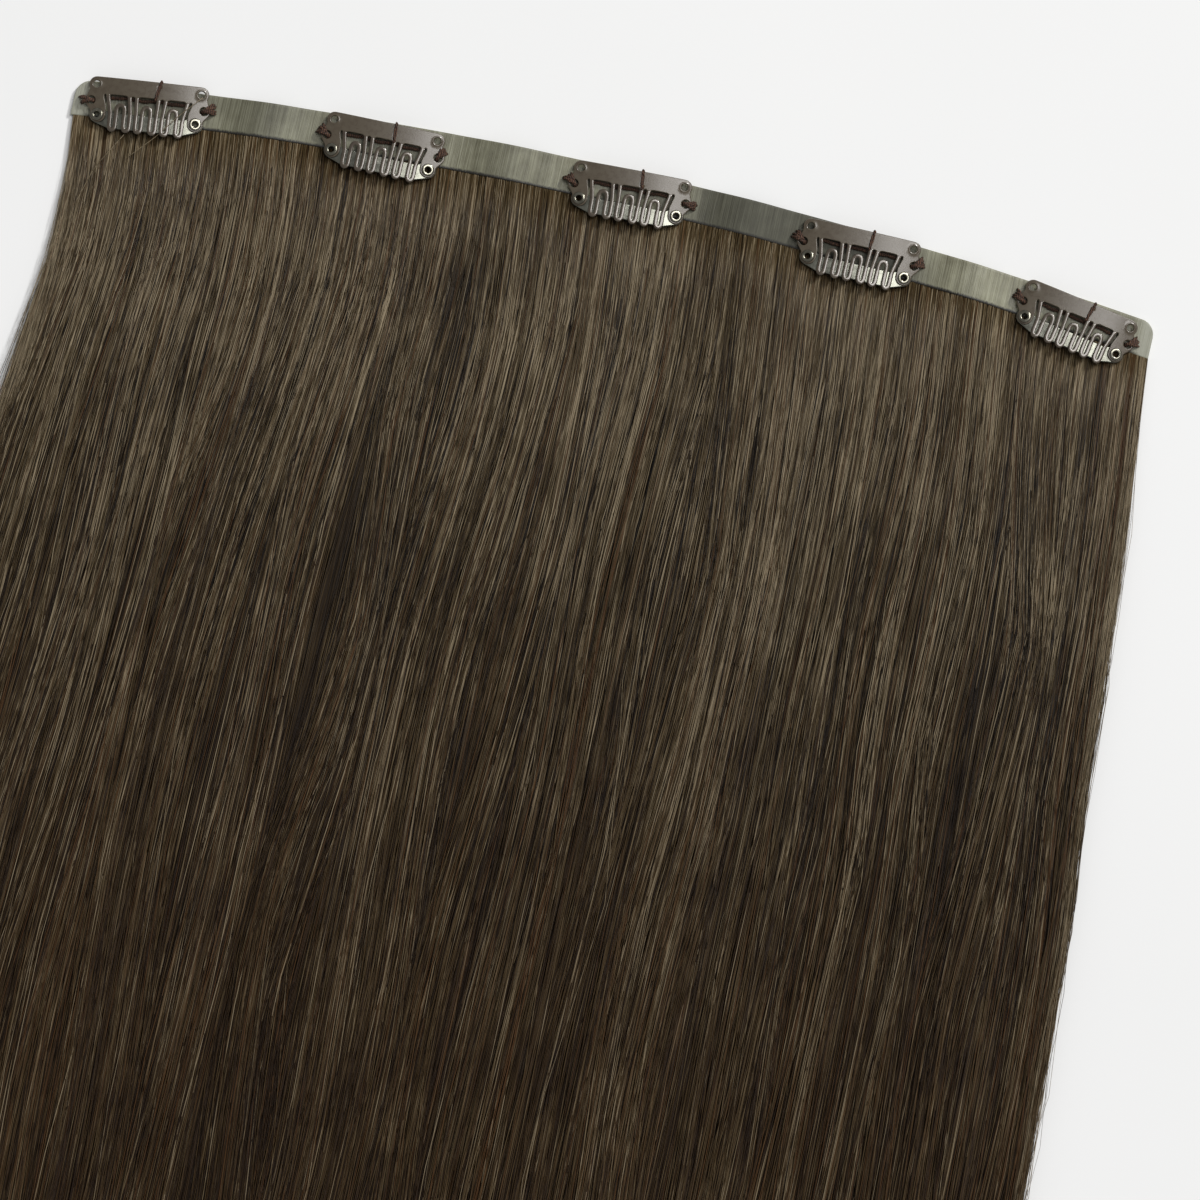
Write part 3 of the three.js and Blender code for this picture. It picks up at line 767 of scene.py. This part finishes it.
def clip_outline():
    """The whole sheet's outline, against the clock: the right half from the slot to the top, mirrored."""
    x = np.arange(0.05, 9.25, 0.1)
    foot = np.column_stack([x, lower_edge(x)])
    slot = np.array([(9.32, -4.0), (9.38, -3.7), (9.62, -3.7), (9.74, -4.2), (9.05, -6.5)])
    rivet_lobe = arc(*RIVET, 1.75, 180, 380)
    tip = arc(SEWING_HOLE[0], SEWING_HOLE[1], 1.5, -45, 45)
    upper = arc(UPPER_HOLE[0], UPPER_HOLE[1], 1.7, -35, 90)
    right = np.vstack([foot, slot, rivet_lobe, tip, upper])
    left = right[::-1] * (-1, 1)
    return resampled(np.vstack([right, left]), OUTLINE_STEP, 3, closed=True)


def round_hole(x, y, radius, count=26):
    """A round hole as a loop that runs with the clock."""
    return arc(x, y, radius, 360, 0, count + 1)[:-1]


def clip_sheet():
    """Plate and both ears as one sheet, with three holes in each ear."""
    loops = [clip_outline()]
    for side in (-1, 1):
        loops.append(round_hole(side * UPPER_HOLE[0], UPPER_HOLE[1], UPPER_HOLE[2]))
    for side in (-1, 1):
        loops.append(round_hole(side * SEWING_HOLE[0], SEWING_HOLE[1], SEWING_HOLE[2]))
        loops.append(round_hole(side * RIVET[0], RIVET[1], RIVET_HOLE))
    points, blocks = pressed_sheet(loops, SHEET, lips=(1, 2))
    return arched(points, SHEET_MIDDLE), blocks


sheet_shape = clip_sheet()
print("clip sheet:", len(sheet_shape[0]), "points")

# %% [markdown]
# The comb is three wire loops. Each comes down from the plate, turns round a tooth, goes up and over, turns
# round the next tooth and runs back to the plate. The path is one line with half circles, resampled and
# smoothed, and an oval section is carried along it.

# %% the comb, the bar and the eyelets
LOOP_SPACING = 5.777
ROOT_SHIFT = 0.67
LEG_NEAR, LEG_FAR = 0.92, 2.225  # from a loop's middle to the legs of its arch, and to its outer legs
ROOT_FAR = 2.42  # from a loop's middle to where its outer legs leave the plate
WIRE_HALF = 0.46
WIRE_FLAT = 0.55  # height of a wire as a share of its width
WIRE_SQUARE = 0.55  # the power that squares up a wire's section
WIRE_STEP = 0.27
TOOTH_DROP = 12.1
ARCH_TOP = 5.3
LEAN_DEPTH = 4.2  # below the plate, where a leg has come in to its place
RISE_FROM = 8.0  # the teeth bend up a little, from this far below the top edge
RISE = 0.055
BAR_SHEET = 0.3
BAR_MIDDLE = 1.45
EYELET_MIDDLE = 1.725
EYELET_LEAN = math.radians(9.0)


def loop_path(side):
    """One comb loop as a line in mm: legs down, half circles round the teeth and over between them."""
    middle = side * LOOP_SPACING
    roots = middle + side * ROOT_SHIFT + np.array([-ROOT_FAR, ROOT_FAR])
    legs = middle + np.array([-LEG_FAR, LEG_FAR])
    near_root = 0.8 * roots + 0.2 * legs
    turn = (LEG_FAR - LEG_NEAR) / 2
    tooth = -TOOTH_DROP + turn + WIRE_HALF
    start, lean = -PLATE_DEPTH - 0.1, -PLATE_DEPTH - LEAN_DEPTH
    return np.vstack(
        [
            [(roots[0], start), (near_root[0], start - 0.9), (legs[0], lean)],
            arc(legs[0] + turn, tooth, turn, 180, 360, 9),
            arc(middle, -ARCH_TOP - LEG_NEAR - WIRE_HALF, LEG_NEAR, 180, 0, 9),
            arc(legs[1] - turn, tooth, turn, 180, 360, 9),
            [(legs[1], lean), (near_root[1], start - 0.9), (roots[1], start)],
        ]
    )


def comb_wires():
    """The three loops, each an oval section along its path, with round ends that sink into the plate."""
    parts = []
    for side in (-1, 0, 1):
        path = resampled(loop_path(side), WIRE_STEP, 5, closed=False)
        ends = np.array([0.0, 0.12, 0.35, 0.65])
        first = path[0] + np.outer(ends, path[1] - path[0])
        last = path[-1] + np.outer(ends[::-1], path[-2] - path[-1])
        path = np.vstack([first, path[1:-1], last])
        swell = np.ones(len(path))
        swell[:4] = (0.35, 0.66, 0.88, 0.97)
        swell[-4:] = swell[:4][::-1]
        line = np.column_stack([path, np.full(len(path), 0.04)])
        line[:, 2] += RISE * np.clip(-line[:, 1] - RISE_FROM, 0, None) ** 1.2
        points, blocks = tubes(line[None], WIRE_HALF * swell[None], 16, lift=WIRE_FLAT, power=WIRE_SQUARE)
        parts.append((arched(points, SHEET_MIDDLE), blocks))
    return joined(parts)


def bar_sheet():
    """The back bar: a straight strip between two round lobes, with a hole for each eyelet."""
    top, bottom, corner = RIVET[1] + 0.65, -TOOTH_DROP + 0.9, RIVET[0] - 2.6
    right = np.vstack([[(0.0, bottom), (corner, bottom)], arc(*RIVET, 1.9, -60, 140), [(corner, top)]])
    outline = np.vstack([right, (right[1:] * (-1, 1))[::-1]])
    loops = [resampled(outline, 0.25, 3, closed=True)]
    loops += [round_hole(side * RIVET[0], RIVET[1], RIVET_HOLE) for side in (-1, 1)]
    points, blocks = pressed_sheet(loops, BAR_SHEET)
    return arched(points, BAR_MIDDLE), blocks


def eyelet(side):
    """A rolled eyelet: a closed section of two round flanges and a barrel, turned about its axis, which
    leans with the ear. Section points are (distance from the axis, height)."""
    distance = (0.62, 0.62, 0.66, 0.76, 0.86, 1.2, 1.31, 1.38, 1.4)
    flange = np.column_stack([distance, (0.0, 0.55, 0.72, 0.81, 0.83, 0.81, 0.76, 0.66, 0.55)])
    inner = np.array([(1.3, 0.52), (0.86, 0.5)])
    half = np.vstack([flange, inner])
    section = np.vstack([half, (half[1:] * (1, -1))[::-1]])
    angle = np.linspace(0, 2 * np.pi, 28, endpoint=False)
    ring_x = section[None, :, 0] * np.cos(angle)[:, None]
    ring_y = section[None, :, 0] * np.sin(angle)[:, None]
    high = np.broadcast_to(section[None, :, 1], ring_x.shape)
    lean = side * EYELET_LEAN
    x = ring_x * math.cos(lean) + high * math.sin(lean)
    z = high * math.cos(lean) - ring_x * math.sin(lean)
    z = z + EYELET_MIDDLE + arch(RIVET[0])
    points = np.stack([x + side * RIVET[0], ring_y + RIVET[1], z], axis=2)
    faces = grid_faces(len(angle), len(section), close_rows=True, close_columns=True)
    return points.reshape(-1, 3), [faces]


comb_shape = comb_wires()
bar_shape = bar_sheet()
eyelet_shapes = {"left": eyelet(-1), "right": eyelet(1)}
print("comb, bar:", len(comb_shape[0]), len(bar_shape[0]), "points")

# %% [markdown]
# Each clip gets its pieces at its own place. The cut sheet halves are closed with a flat face. The cut runs a
# little slantwise, because the ear's lower lobe reaches further in than its upper one.

# %% five clips in place
SEAM = 2.2
SEAM_MIDDLE = -1.9  # half way down the plate
SEAM_LEANS = {1: 0.24, 2: -0.06, 3: -0.1, 4: 0.08, 5: 0.14}  # across for each mm up, clip by clip


def cut_half(piece, matrix, lean, keep_left):
    """Cuts a piece at the seam plane, keeps one side and closes it with a flat face."""
    shape = bmesh.new()
    shape.from_mesh(piece.data)
    seam = Vector(placed(np.array([SEAM, SEAM_MIDDLE, 0]) * MM, matrix).tolist())
    along = Vector((matrix[:3, 0] - lean * matrix[:3, 1]).tolist()).normalized()
    everything = shape.verts[:] + shape.edges[:] + shape.faces[:]
    cleared = {"clear_outer": keep_left, "clear_inner": not keep_left}
    bmesh.ops.bisect_plane(shape, geom=everything, dist=1e-8, plane_co=seam, plane_no=along, **cleared)
    rims = [edge for edge in shape.edges if edge.is_boundary]
    made = bmesh.ops.holes_fill(shape, edges=rims, sides=0)
    for face in made["faces"]:
        face.smooth = False
    shape.to_mesh(piece.data)
    shape.free()


for number, matrix in CLIPS.items():
    comb_body = f"comb_{number}"
    here = {"comb": comb_shape, "bar": bar_shape, "sheet": sheet_shape}
    here = {key: (placed(shape[0] * MM, matrix), shape[1]) for key, shape in here.items()}
    for word, side in (("left", -1), ("right", 1)):
        half = make_piece(f"clip_{number}_plate_{word}", *here["sheet"], CLIP_LACQUER, body=None)
        cut_half(half, matrix, SEAM_LEANS[number], keep_left=side < 0)
        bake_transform(half)
        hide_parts(f"clip_{number}_ear_{word}")
        points, blocks = eyelet_shapes[word]
        rivet = make_piece(f"clip_{number}_ring_{word}", placed(points * MM, matrix), blocks, EYELET_PLATE)
        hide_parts(f"clip_{number}_eyelet_{word}")
    wires = make_piece(f"clip_{number}_comb_wires", *here["comb"], WIRE_LACQUER, body=comb_body)
    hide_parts(f"clip_{number}_comb")
    bar = make_piece(f"clip_{number}_back_bar", *here["bar"], BAR_STEEL)
    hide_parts(f"clip_{number}_bar")
print("clips placed:", len(CLIPS))

# %% [markdown]
# Brown thread holds each clip on: a bundle of stitches from each ear's sewing hole over its edge to the
# band, a run along the band below the plate, and one loop round the plate's middle. Each is two or three
# plies that twist round a shared path.

# %% thread
PLY = 0.24
THREAD_LEVEL = (0.31, 0.2, 0.93)  # no stitch runs along this direction
# the way each clip's left and right bundles point, in degrees
STITCH_LEANS = {1: (181, 18), 2: (150, 60), 3: (141, 4), 4: (145, 34), 5: (156, 39)}
FAN = (-22, -8, 8, 22)
STITCH_START = -0.75  # a stitch comes up inside the hole
STITCH_FOOT = 1.1
STITCH_RISE = 1.7
RUN_ENDS = (-8.6, 8.2)
RUN_POINTS = 60
RUN_Y, RUN_HEIGHT = -4.3, 1.5
LOOP_REACH = 2.05  # of the loop over the plate, from the plate's middle line
LOOP_RISE = 0.42
LOOP_SQUARE = 0.35


def plies(path, count, turns, spread, closed=False, phase=0.0):
    """Plies round a path in mm: ply k is path + spread * (cos a * side + sin a * top), where the angle a
    runs through the given turns along the path and starts at an even share of a circle for each ply."""
    path = np.array(path, dtype=float)
    ahead = np.roll(path, -1, axis=0) - np.roll(path, 1, axis=0) if closed else np.gradient(path, axis=0)
    ahead = ahead / np.linalg.norm(ahead, axis=1, keepdims=True)
    side = np.cross(ahead, THREAD_LEVEL)
    side = side / np.linalg.norm(side, axis=1, keepdims=True)
    top = np.cross(side, ahead)
    along = np.linspace(0, 1, len(path), endpoint=not closed)
    angle = 2 * np.pi * (turns * along[None] + np.arange(count)[:, None] / count) + phase
    shift = np.cos(angle)[..., None] * side[None] + np.sin(angle)[..., None] * top[None]
    return path[None] + spread * shift


def ear_stitches(side, lean, rng):
    """A bundle from the sewing hole over the ear's edge: four stitches fan out from the hole, each an arch
    that rises through the hole, lies on the ear and drops to the band."""
    parts = []
    for turn in FAN:
        direction = math.radians(lean + turn + rng.uniform(-5, 5))
        share = np.linspace(0, 1, 15)
        out = rng.uniform(2.9, 3.5) * share + STITCH_START
        x = side * SEWING_HOLE[0] + out * math.cos(direction)
        y = SEWING_HOLE[1] + out * math.sin(direction)
        height = STITCH_FOOT + STITCH_RISE * (1 - np.abs(2 * share - 1) ** 3.2)
        line = np.column_stack([x, y, height])
        paths = plies(line, 2, rng.uniform(1.4, 2.2), 0.17, phase=rng.uniform(0, 6))
        parts.append(tubes(paths, np.full(paths.shape[:2], PLY), 7, level=THREAD_LEVEL))
    return joined(parts)


def middle_loop(lean):
    """The loop round the plate, from its top edge down to the middle window's corner and back below."""
    angle = np.linspace(0, 2 * np.pi, 64, endpoint=False)
    y = SEAM_MIDDLE + LOOP_REACH * squarer(np.cos(angle), LOOP_SQUARE)
    x = SEAM + lean * (y - SEAM_MIDDLE)
    z = SHEET_MIDDLE + arch(x) + LOOP_RISE * squarer(np.sin(angle), LOOP_SQUARE)
    paths = plies(np.column_stack([x, y, z]), 2, 4, 0.18, closed=True)
    return tubes(paths, np.full(paths.shape[:2], 0.85 * PLY), 7, closed=True, level=(0.95, 0.2, 0.24))


def band_run(rng):
    """The thread along the band below the plate, seen through the tops of the windows."""
    x = np.linspace(*RUN_ENDS, RUN_POINTS)
    y = RUN_Y + 0.12 * np.sin(x * 0.9 + rng.uniform(0, 6)) + 0.06 * np.sin(x * 2.3)
    paths = plies(np.column_stack([x, y, np.full(RUN_POINTS, RUN_HEIGHT)]), 3, 8, 0.2)
    return tubes(paths, np.full(paths.shape[:2], PLY), 6)


for number, matrix in CLIPS.items():
    rng = np.random.default_rng(100 + number)
    lean_left, lean_right = STITCH_LEANS[number]
    stitches = {
        f"clip_{number}_stitches_left": (ear_stitches(-1, lean_left, rng), "root"),
        f"clip_{number}_stitches_right": (ear_stitches(1, lean_right, rng), "root"),
        f"clip_{number}_thread_run": (band_run(rng), "root"),
        f"clip_{number}_thread_loop": (middle_loop(SEAM_LEANS[number]), f"comb_{number}"),
    }
    for name, (shape, body) in stitches.items():
        thread = make_piece(name, placed(shape[0] * MM, matrix), shape[1], THREAD, body=body)
print("thread pieces:", 4 * len(CLIPS))

# %% [markdown]
# The hair's flow is one set of formulas. A strand keeps its share of the root line, spreads with the
# curtain's side edges, and swings in one long wave. On top of that each lock of a few millimetres gathers
# and sways a little by itself, and each strand wanders. The same formulas with no locks shape the dark
# under-layer, which replaces the plain solid.

# %% the flow of the hair
EDGE_DOWN = (0, 0.05, 0.1, 0.16, 0.24, 0.32, 0.44, 1)
EDGE_LEFT = (0, 0.012, 0.002, -0.012, -0.022, -0.03, -0.034, -0.036)
EDGE_RIGHT = (0, 0.01, 0.02, 0.025, 0.03, 0.05, 0.061, 0.061)
THICK_DOWN = (0, 0.02, 0.08, 0.18, 0.34, 0.52, 0.7, 0.85, 0.95, 1)
THICK_SHARE = (0.24, 0.26, 0.55, 0.9, 1, 0.98, 0.86, 0.66, 0.45, 0.25)
HAIR_THICKNESS = 4.2 * MM
HAIR_WAVE = 2.6 * MM
WAVE_LENGTH = 250 * MM
ROOT_SETTLE = 30 * MM
EASE = 33  # how many samples of a table's line are averaged, an odd number
fine_down = np.linspace(0, 1, 401)


def eased(down, values):
    """A table's straight steps as one smooth curve: each value averaged with those near it."""
    line = np.interp(fine_down, down, values)
    weights = np.hanning(EASE)
    padded = np.concatenate([np.full(EASE // 2, line[0]), line, np.full(EASE // 2, line[-1])])
    return np.convolve(padded, weights / weights.sum(), mode="valid")


LEFT_LINE, RIGHT_LINE, THICK_LINE = (
    eased(EDGE_DOWN, EDGE_LEFT),
    eased(EDGE_DOWN, EDGE_RIGHT),
    eased(THICK_DOWN, THICK_SHARE),
)


def flow_x(root, down):
    """Where a strand from root is at a share down its length: root + the spread between the two side
    edges + the long wave, whose height grows with the length."""
    side = root / BAND_HALF
    left, right = np.interp(down, fine_down, LEFT_LINE), np.interp(down, fine_down, RIGHT_LINE)
    spread = left + (right - left) * (1 + side) / 2
    turn = 2 * np.pi * down * HAIR_LENGTH / WAVE_LENGTH
    wave = HAIR_WAVE * down * (np.sin(turn + side) - np.sin(side))
    return root + spread * 2 * BAND_HALF + wave


def flow_top(root, down):
    """Height of the curtain's top: the thickness at this share down, swollen and sunk by slow waves across,
    over the band's hump, which fades out below the band."""
    settle = np.clip(down * HAIR_LENGTH / ROOT_SETTLE, 0, 1)
    settle = settle * settle * (3 - 2 * settle)
    across = waves(root + 9 * MM * np.sin(5 * down), (41 * MM, 23 * MM, 14.5 * MM), (0.07, 0.06, 0.05), 21)
    thick = HAIR_THICKNESS * np.interp(down, fine_down, THICK_LINE)
    return band_lift(root) * (1 - settle) + thick * (1 + (across - 0.12) * settle)


def root_line(root):
    """Height along Y where the hair leaves the band."""
    return band_edge(root) - BAND_HEIGHT


print("hair reaches", round(flow_x(BAND_HALF, 1.0) / MM, 1), "mm right of the band's middle at its tips")

# %% the under-layer
UNDER_HALF = BAND_HALF - 2.2 * MM
UNDER_COLUMNS = 110
UNDER_ROWS = 50


def under_layer():
    """A closed sheet below the strands: rings across the curtain, each the underside from left to right
    and the top from right to left, at about half the height of the strands."""
    root = np.linspace(-1, 1, UNDER_COLUMNS)[None, :] * UNDER_HALF
    tips = 0.925 + waves(root, (31 * MM, 13 * MM), (0.012, 0.008), 5)
    down = np.linspace(0, 1, UNDER_ROWS)[:, None] ** 1.2 * tips
    x = flow_x(root, down) + BAND_MIDDLE
    y = root_line(root) - 0.3 * MM - down * HAIR_LENGTH
    sink = flow_top(root, down) * np.interp(down, (0, 0.06, 0.2), (0.3, 0.4, 0.45))
    at_side = np.clip((1 - np.abs(root) / UNDER_HALF) / 0.035, 0, 1)
    top = (flow_top(root, down) - sink) * np.sqrt(np.clip(at_side, 0.06, 1))
    bottom = np.stack(np.broadcast_arrays(x, y, np.zeros_like(x)), axis=2)
    over = np.stack(np.broadcast_arrays(x, y, np.maximum(top, 0.15 * MM)), axis=2)
    points = np.concatenate([bottom, over[:, ::-1]], axis=1)
    ring = 2 * UNDER_COLUMNS
    i = np.arange(UNDER_COLUMNS - 1)
    cap = np.stack([i, i + 1, ring - 2 - i, ring - 1 - i], axis=1)
    faces = [grid_faces(UNDER_ROWS, ring, close_columns=True), cap[:, ::-1], cap + (UNDER_ROWS - 1) * ring]
    piece = make_piece("hair_underlayer", points.reshape(-1, 3), faces, HAIR_UNDER)
    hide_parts("hair")
    return piece


underlayer = under_layer()
print("under-layer points:", len(underlayer.data.vertices))

# %% [markdown]
# Thousands of strands lie over the under-layer. Each is a closed three-sided thread about as wide as a few
# real hairs, because the picture can't show finer ones. All of them are worked out in one go as arrays, in
# five groups from left to right, and each strand keeps one random shade, with a painted highlight near the
# band and painted shade further down laid over it.

# %% the locks
def lock_set(rng, width, swing, wave, gather, shade):
    """Locks side by side across the curtain, of uneven widths. Each has its edges, how far it swings and
    over what length, how much it gathers its strands, and a length and a shade of its own."""
    widths = rng.uniform(0.5, 1.5, int(2 * BAND_HALF / width))
    edges = np.concatenate([[0], np.cumsum(widths)]) / widths.sum() * 2 - 1
    count = len(widths)
    return {
        "edges": edges * (BAND_HALF + 1 * MM),
        "swing": swing * rng.normal(0, 1, count).clip(-1.7, 1.7),
        "wave": rng.uniform(*wave, count),
        "phase": rng.uniform(0, 2 * np.pi, count),
        "gather": rng.uniform(*gather, count),
        "length": rng.uniform(0.955, 1, count),
        "shade": shade * rng.normal(0, 1, count),
    }


def in_lock(locks, root, fall, rng, mixing):
    """How far its lock moves a strand across: the lock swings, and gathers its strands to its middle, more
    and less by turns. Also the strand's place across its lock, from -1 to 1, and the lock's number. Some
    strands near a lock's border stray into the next one."""
    edges = locks["edges"]
    strayed = root + rng.normal(0, mixing, len(root))
    number = np.clip(np.searchsorted(edges, strayed) - 1, 0, len(edges) - 2)
    middle, half = (edges[number] + edges[number + 1]) / 2, (edges[number + 1] - edges[number]) / 2
    wave, phase, swing, gather = (locks[key][number][:, None] for key in ("wave", "phase", "swing", "gather"))
    turn = 2 * np.pi * fall / wave + phase
    closer = gather * (0.65 + 0.35 * np.sin(1.7 * turn)) * (root - middle)[:, None]
    return swing * (np.sin(turn) - np.sin(phase)) - closer, (root - middle) / half, number


rng = np.random.default_rng(7)
BIG = lock_set(rng, 17 * MM, 1.6 * MM, (150 * MM, 290 * MM), (0.02, 0.25), 0.03)
SMALL = lock_set(rng, 4.2 * MM, 0.6 * MM, (90 * MM, 180 * MM), (0.03, 0.32), 0.045)
print("locks:", len(BIG["swing"]), "wide,", len(SMALL["swing"]), "narrow")

# %% strands
STRAND_COUNT = 8200
STRAND_HALF = 0.121 * MM
STRAND_STEPS = 15
GROUPS = 5
INTO_LOCKS = 70 * MM  # how far below the band the locks are fully apart
BIG_STRAY, SMALL_STRAY = 1.5 * MM, 0.5 * MM  # how far over a lock's border strands stray
BASE_MOVES = 0.35  # a base strand's share of its lock's moves
OWN_SWAY = 0.75 * MM  # how far a strand wanders by itself
DRIFT = 1.7 * MM  # how far across a stray strand has moved at its tip
RIPPLE = 0.1 * MM
RIPPLE_LENGTH = 23 * MM
LOWEST = 0.35 * MM  # a strand's middle, above the table
MIDDLE_SHADE = 0.51
# Base strands lie low under the others and are painted darker, as painted shade.
BASE_PAINTED_SHADE = 0.14  # how much darker the base strands are
OWN_SHADE = 0.3  # how far the strands' shades differ
WARM_STRANDS = 0.12  # share of the strands that are red brown
# A painted highlight near the band and painted shade further down: how much lighter or darker the strands are
# at each distance below the band.
HAIR_LIGHT_AT = (0, 20, 60, 130, 220)  # mm below the band
HAIR_PAINTED_LIGHT = (0.15, 0.19, 0.15, 0.0, -0.11)
CONTRAST_AT = (0, 25, 110, 200)  # mm below the band
CONTRAST = (0.6, 1, 1, 0.82)
WARM_AT, WARM = (60, 180), (0, 0.16)  # mm below the band, and how red brown all strands are there


def strands(name, root, rng, radius, base=False, loose=1.0, lift=0.0, pale=0.0):
    """One piece of many strands from their roots. Across = the flow + the moves of the two locks each
    strand is in + its own wander and drift. Height = the curtain's top * a dome across each lock * the
    strand's own level. Base strands lie low and nearly straight, and fill the gaps between locks."""
    count = len(root)
    share = np.tile(np.linspace(0, 1, STRAND_STEPS), (count, 1))
    share[:, 1:-1] += rng.uniform(-0.4, 0.4, (count, STRAND_STEPS - 2)) / (STRAND_STEPS - 1)
    share = share**1.3
    near = SMALL["length"][np.clip(np.searchsorted(SMALL["edges"], root) - 1, 0, None)]
    down = share * (near * (1 - 0.07 * rng.uniform(0, 1, count) ** 1.5))[:, None]
    fall = down * HAIR_LENGTH
    grown = np.clip(fall / INTO_LOCKS, 0, 1) ** 1.4
    big_move, in_big, big = in_lock(BIG, root, fall, rng, BIG_STRAY)
    small_move, in_small, small = in_lock(SMALL, root, fall, rng, SMALL_STRAY)
    start, ripple_start = rng.uniform(0, 2 * np.pi, (2, count, 1))
    own = np.sin(2 * np.pi * fall / rng.uniform(80 * MM, 170 * MM, (count, 1)) + start)
    own = rng.normal(0, OWN_SWAY, (count, 1)) * own
    drift = rng.standard_t(3, count).clip(-2.6, 2.6)[:, None] * DRIFT * down**1.3
    inwards = 1 - 0.8 * (np.abs(root) / BAND_HALF > 0.95)[:, None]
    with_lock = BASE_MOVES * big_move if base else big_move + small_move
    x = flow_x(root[:, None], down) + grown * (with_lock + loose * (own + inwards * drift))
    level = rng.uniform(0.6, 0.76, count) if base else 1 - 0.36 * rng.uniform(0, 1, count) ** 1.5
    big_dome, small_dome = (np.sqrt(np.clip(1 - (0.93 * place) ** 2, 0, 1)) for place in (in_big, in_small))
    crown = 1 if base else ((0.68 + 0.32 * big_dome) * (0.8 + 0.2 * small_dome))[:, None]
    settle = np.clip(down / 0.12, 0, 1)
    ripple = RIPPLE * np.sin(fall / RIPPLE_LENGTH + ripple_start)
    z = flow_top(root[:, None], down) * level[:, None] * (1 + (crown - 1) * settle)
    z = np.maximum(z + (ripple + lift) * np.clip(down / 0.06, 0, 1) - radius, LOWEST)
    taper = np.interp(share, (0, 0.03, 0.88, 1), (0.8, 1, 1, 0.3))
    radii = radius * rng.uniform(0.7, 1.25, (count, 1)) * taper
    paths = np.stack([x + BAND_MIDDLE, root_line(root)[:, None] + 0.1 * MM - fall, z], axis=2)
    piece = make_piece(name, *tubes(paths, radii, 3), HAIR_STRANDS)
    # pale lifts every shade of the piece: painted light.
    own_shade = pale + OWN_SHADE * rng.normal(0, 1, count) + BIG["shade"][big] + SMALL["shade"][small]
    # Painted shade in the crevices between locks: strands near a lock's border are painted darker.
    border = 0.1 * np.abs(in_big.clip(-1.2, 1.2)) ** 4 + 0.12 * np.abs(in_small.clip(-1.2, 1.2)) ** 4
    painted_light = np.interp(fall / MM, HAIR_LIGHT_AT, HAIR_PAINTED_LIGHT)
    contrast = np.interp(fall / MM, CONTRAST_AT, CONTRAST)
    middle = MIDDLE_SHADE - BASE_PAINTED_SHADE * base
    shade = middle + own_shade[:, None] * contrast + painted_light - (not base) * border[:, None] * settle
    warm = (rng.uniform(0, 1, count) < WARM_STRANDS) * rng.uniform(0.2, 0.8, count)
    warm = np.clip(warm[:, None] + np.interp(fall / MM, WARM_AT, WARM), 0, 0.8)
    set_values(piece, "shade", np.repeat(np.clip(shade, 0, 1), 3, axis=1))
    set_values(piece, "warm", np.repeat(warm, 3, axis=1))
    return piece


roots = np.sort(rng.uniform(-1, 1, STRAND_COUNT)) * (BAND_HALF - 0.4 * MM)
for group, part in enumerate(np.array_split(roots, GROUPS), start=1):
    low = strands(f"hair_base_{group}", part[::4], rng, 1.2 * STRAND_HALF, base=True, loose=0.5)
    high = strands(f"hair_strands_{group}", np.delete(part, np.s_[::4]), rng, STRAND_HALF)
    print(high.name, len(high.data.polygons), "faces, over", len(low.data.polygons))

FLY_SPREAD = 110
FLY_SIDES = 200
FLY_HALF = 0.06 * MM
spread = rng.uniform(-1, 1, FLY_SPREAD)
side = np.sign(rng.uniform(-1, 1, FLY_SIDES)) * rng.uniform(0.985, 1, FLY_SIDES)
fly_roots = np.concatenate([spread, side]) * (BAND_HALF - 0.3 * MM)
# The flyaways are painted paler, as painted light shining through thin hairs at the curtain's edges.
flyaways = strands("hair_flyaways", fly_roots, rng, FLY_HALF, loose=1.8, lift=0.4 * MM, pale=0.4)
print("flyaways:", FLY_SPREAD, "all over and", FLY_SIDES, "at the sides on", flyaways.name)

# %% [markdown]
# Two loose hairs have slipped out at the first clip and lie across the others. Each is drawn through four
# points.

# %% loose hairs
LOOSE_HAIRS = np.array(
    [
        [(-96.9, 199.4, 4.0), (-102.4, 192.9, 3.8), (-104.5, 189.5, 3.2), (-110.4, 183.0, 2.5)],
        [(-112.1, 187.8, 3.0), (-114.8, 183.0, 2.9), (-116.9, 179.5, 2.8), (-119.5, 170.0, 2.6)],
    ]
)
LOOSE_HALF = 0.09 * MM
LOOSE_STEPS = 14
loose_shapes = []
for line in LOOSE_HAIRS:
    path = resampled(line, np.ptp(line[:, 1]) * 1.2 / LOOSE_STEPS, 3, closed=False) * MM
    loose_shapes.append(tubes(path[None], np.full((1, len(path)), LOOSE_HALF), 3))
loose = make_piece("hair_loose", *joined(loose_shapes), HAIR_STRANDS)
set_values(loose, "shade", np.full(len(loose.data.vertices), 1.0))
set_values(loose, "warm", np.zeros(len(loose.data.vertices)))
print("loose hairs:", len(LOOSE_HAIRS))
added = [piece for piece in bpy.data.objects if piece.type == "MESH" and piece.name not in frame["nodes"]]
print("triangles added:", sum(len(piece.data.loops) - 2 * len(piece.data.polygons) for piece in added))
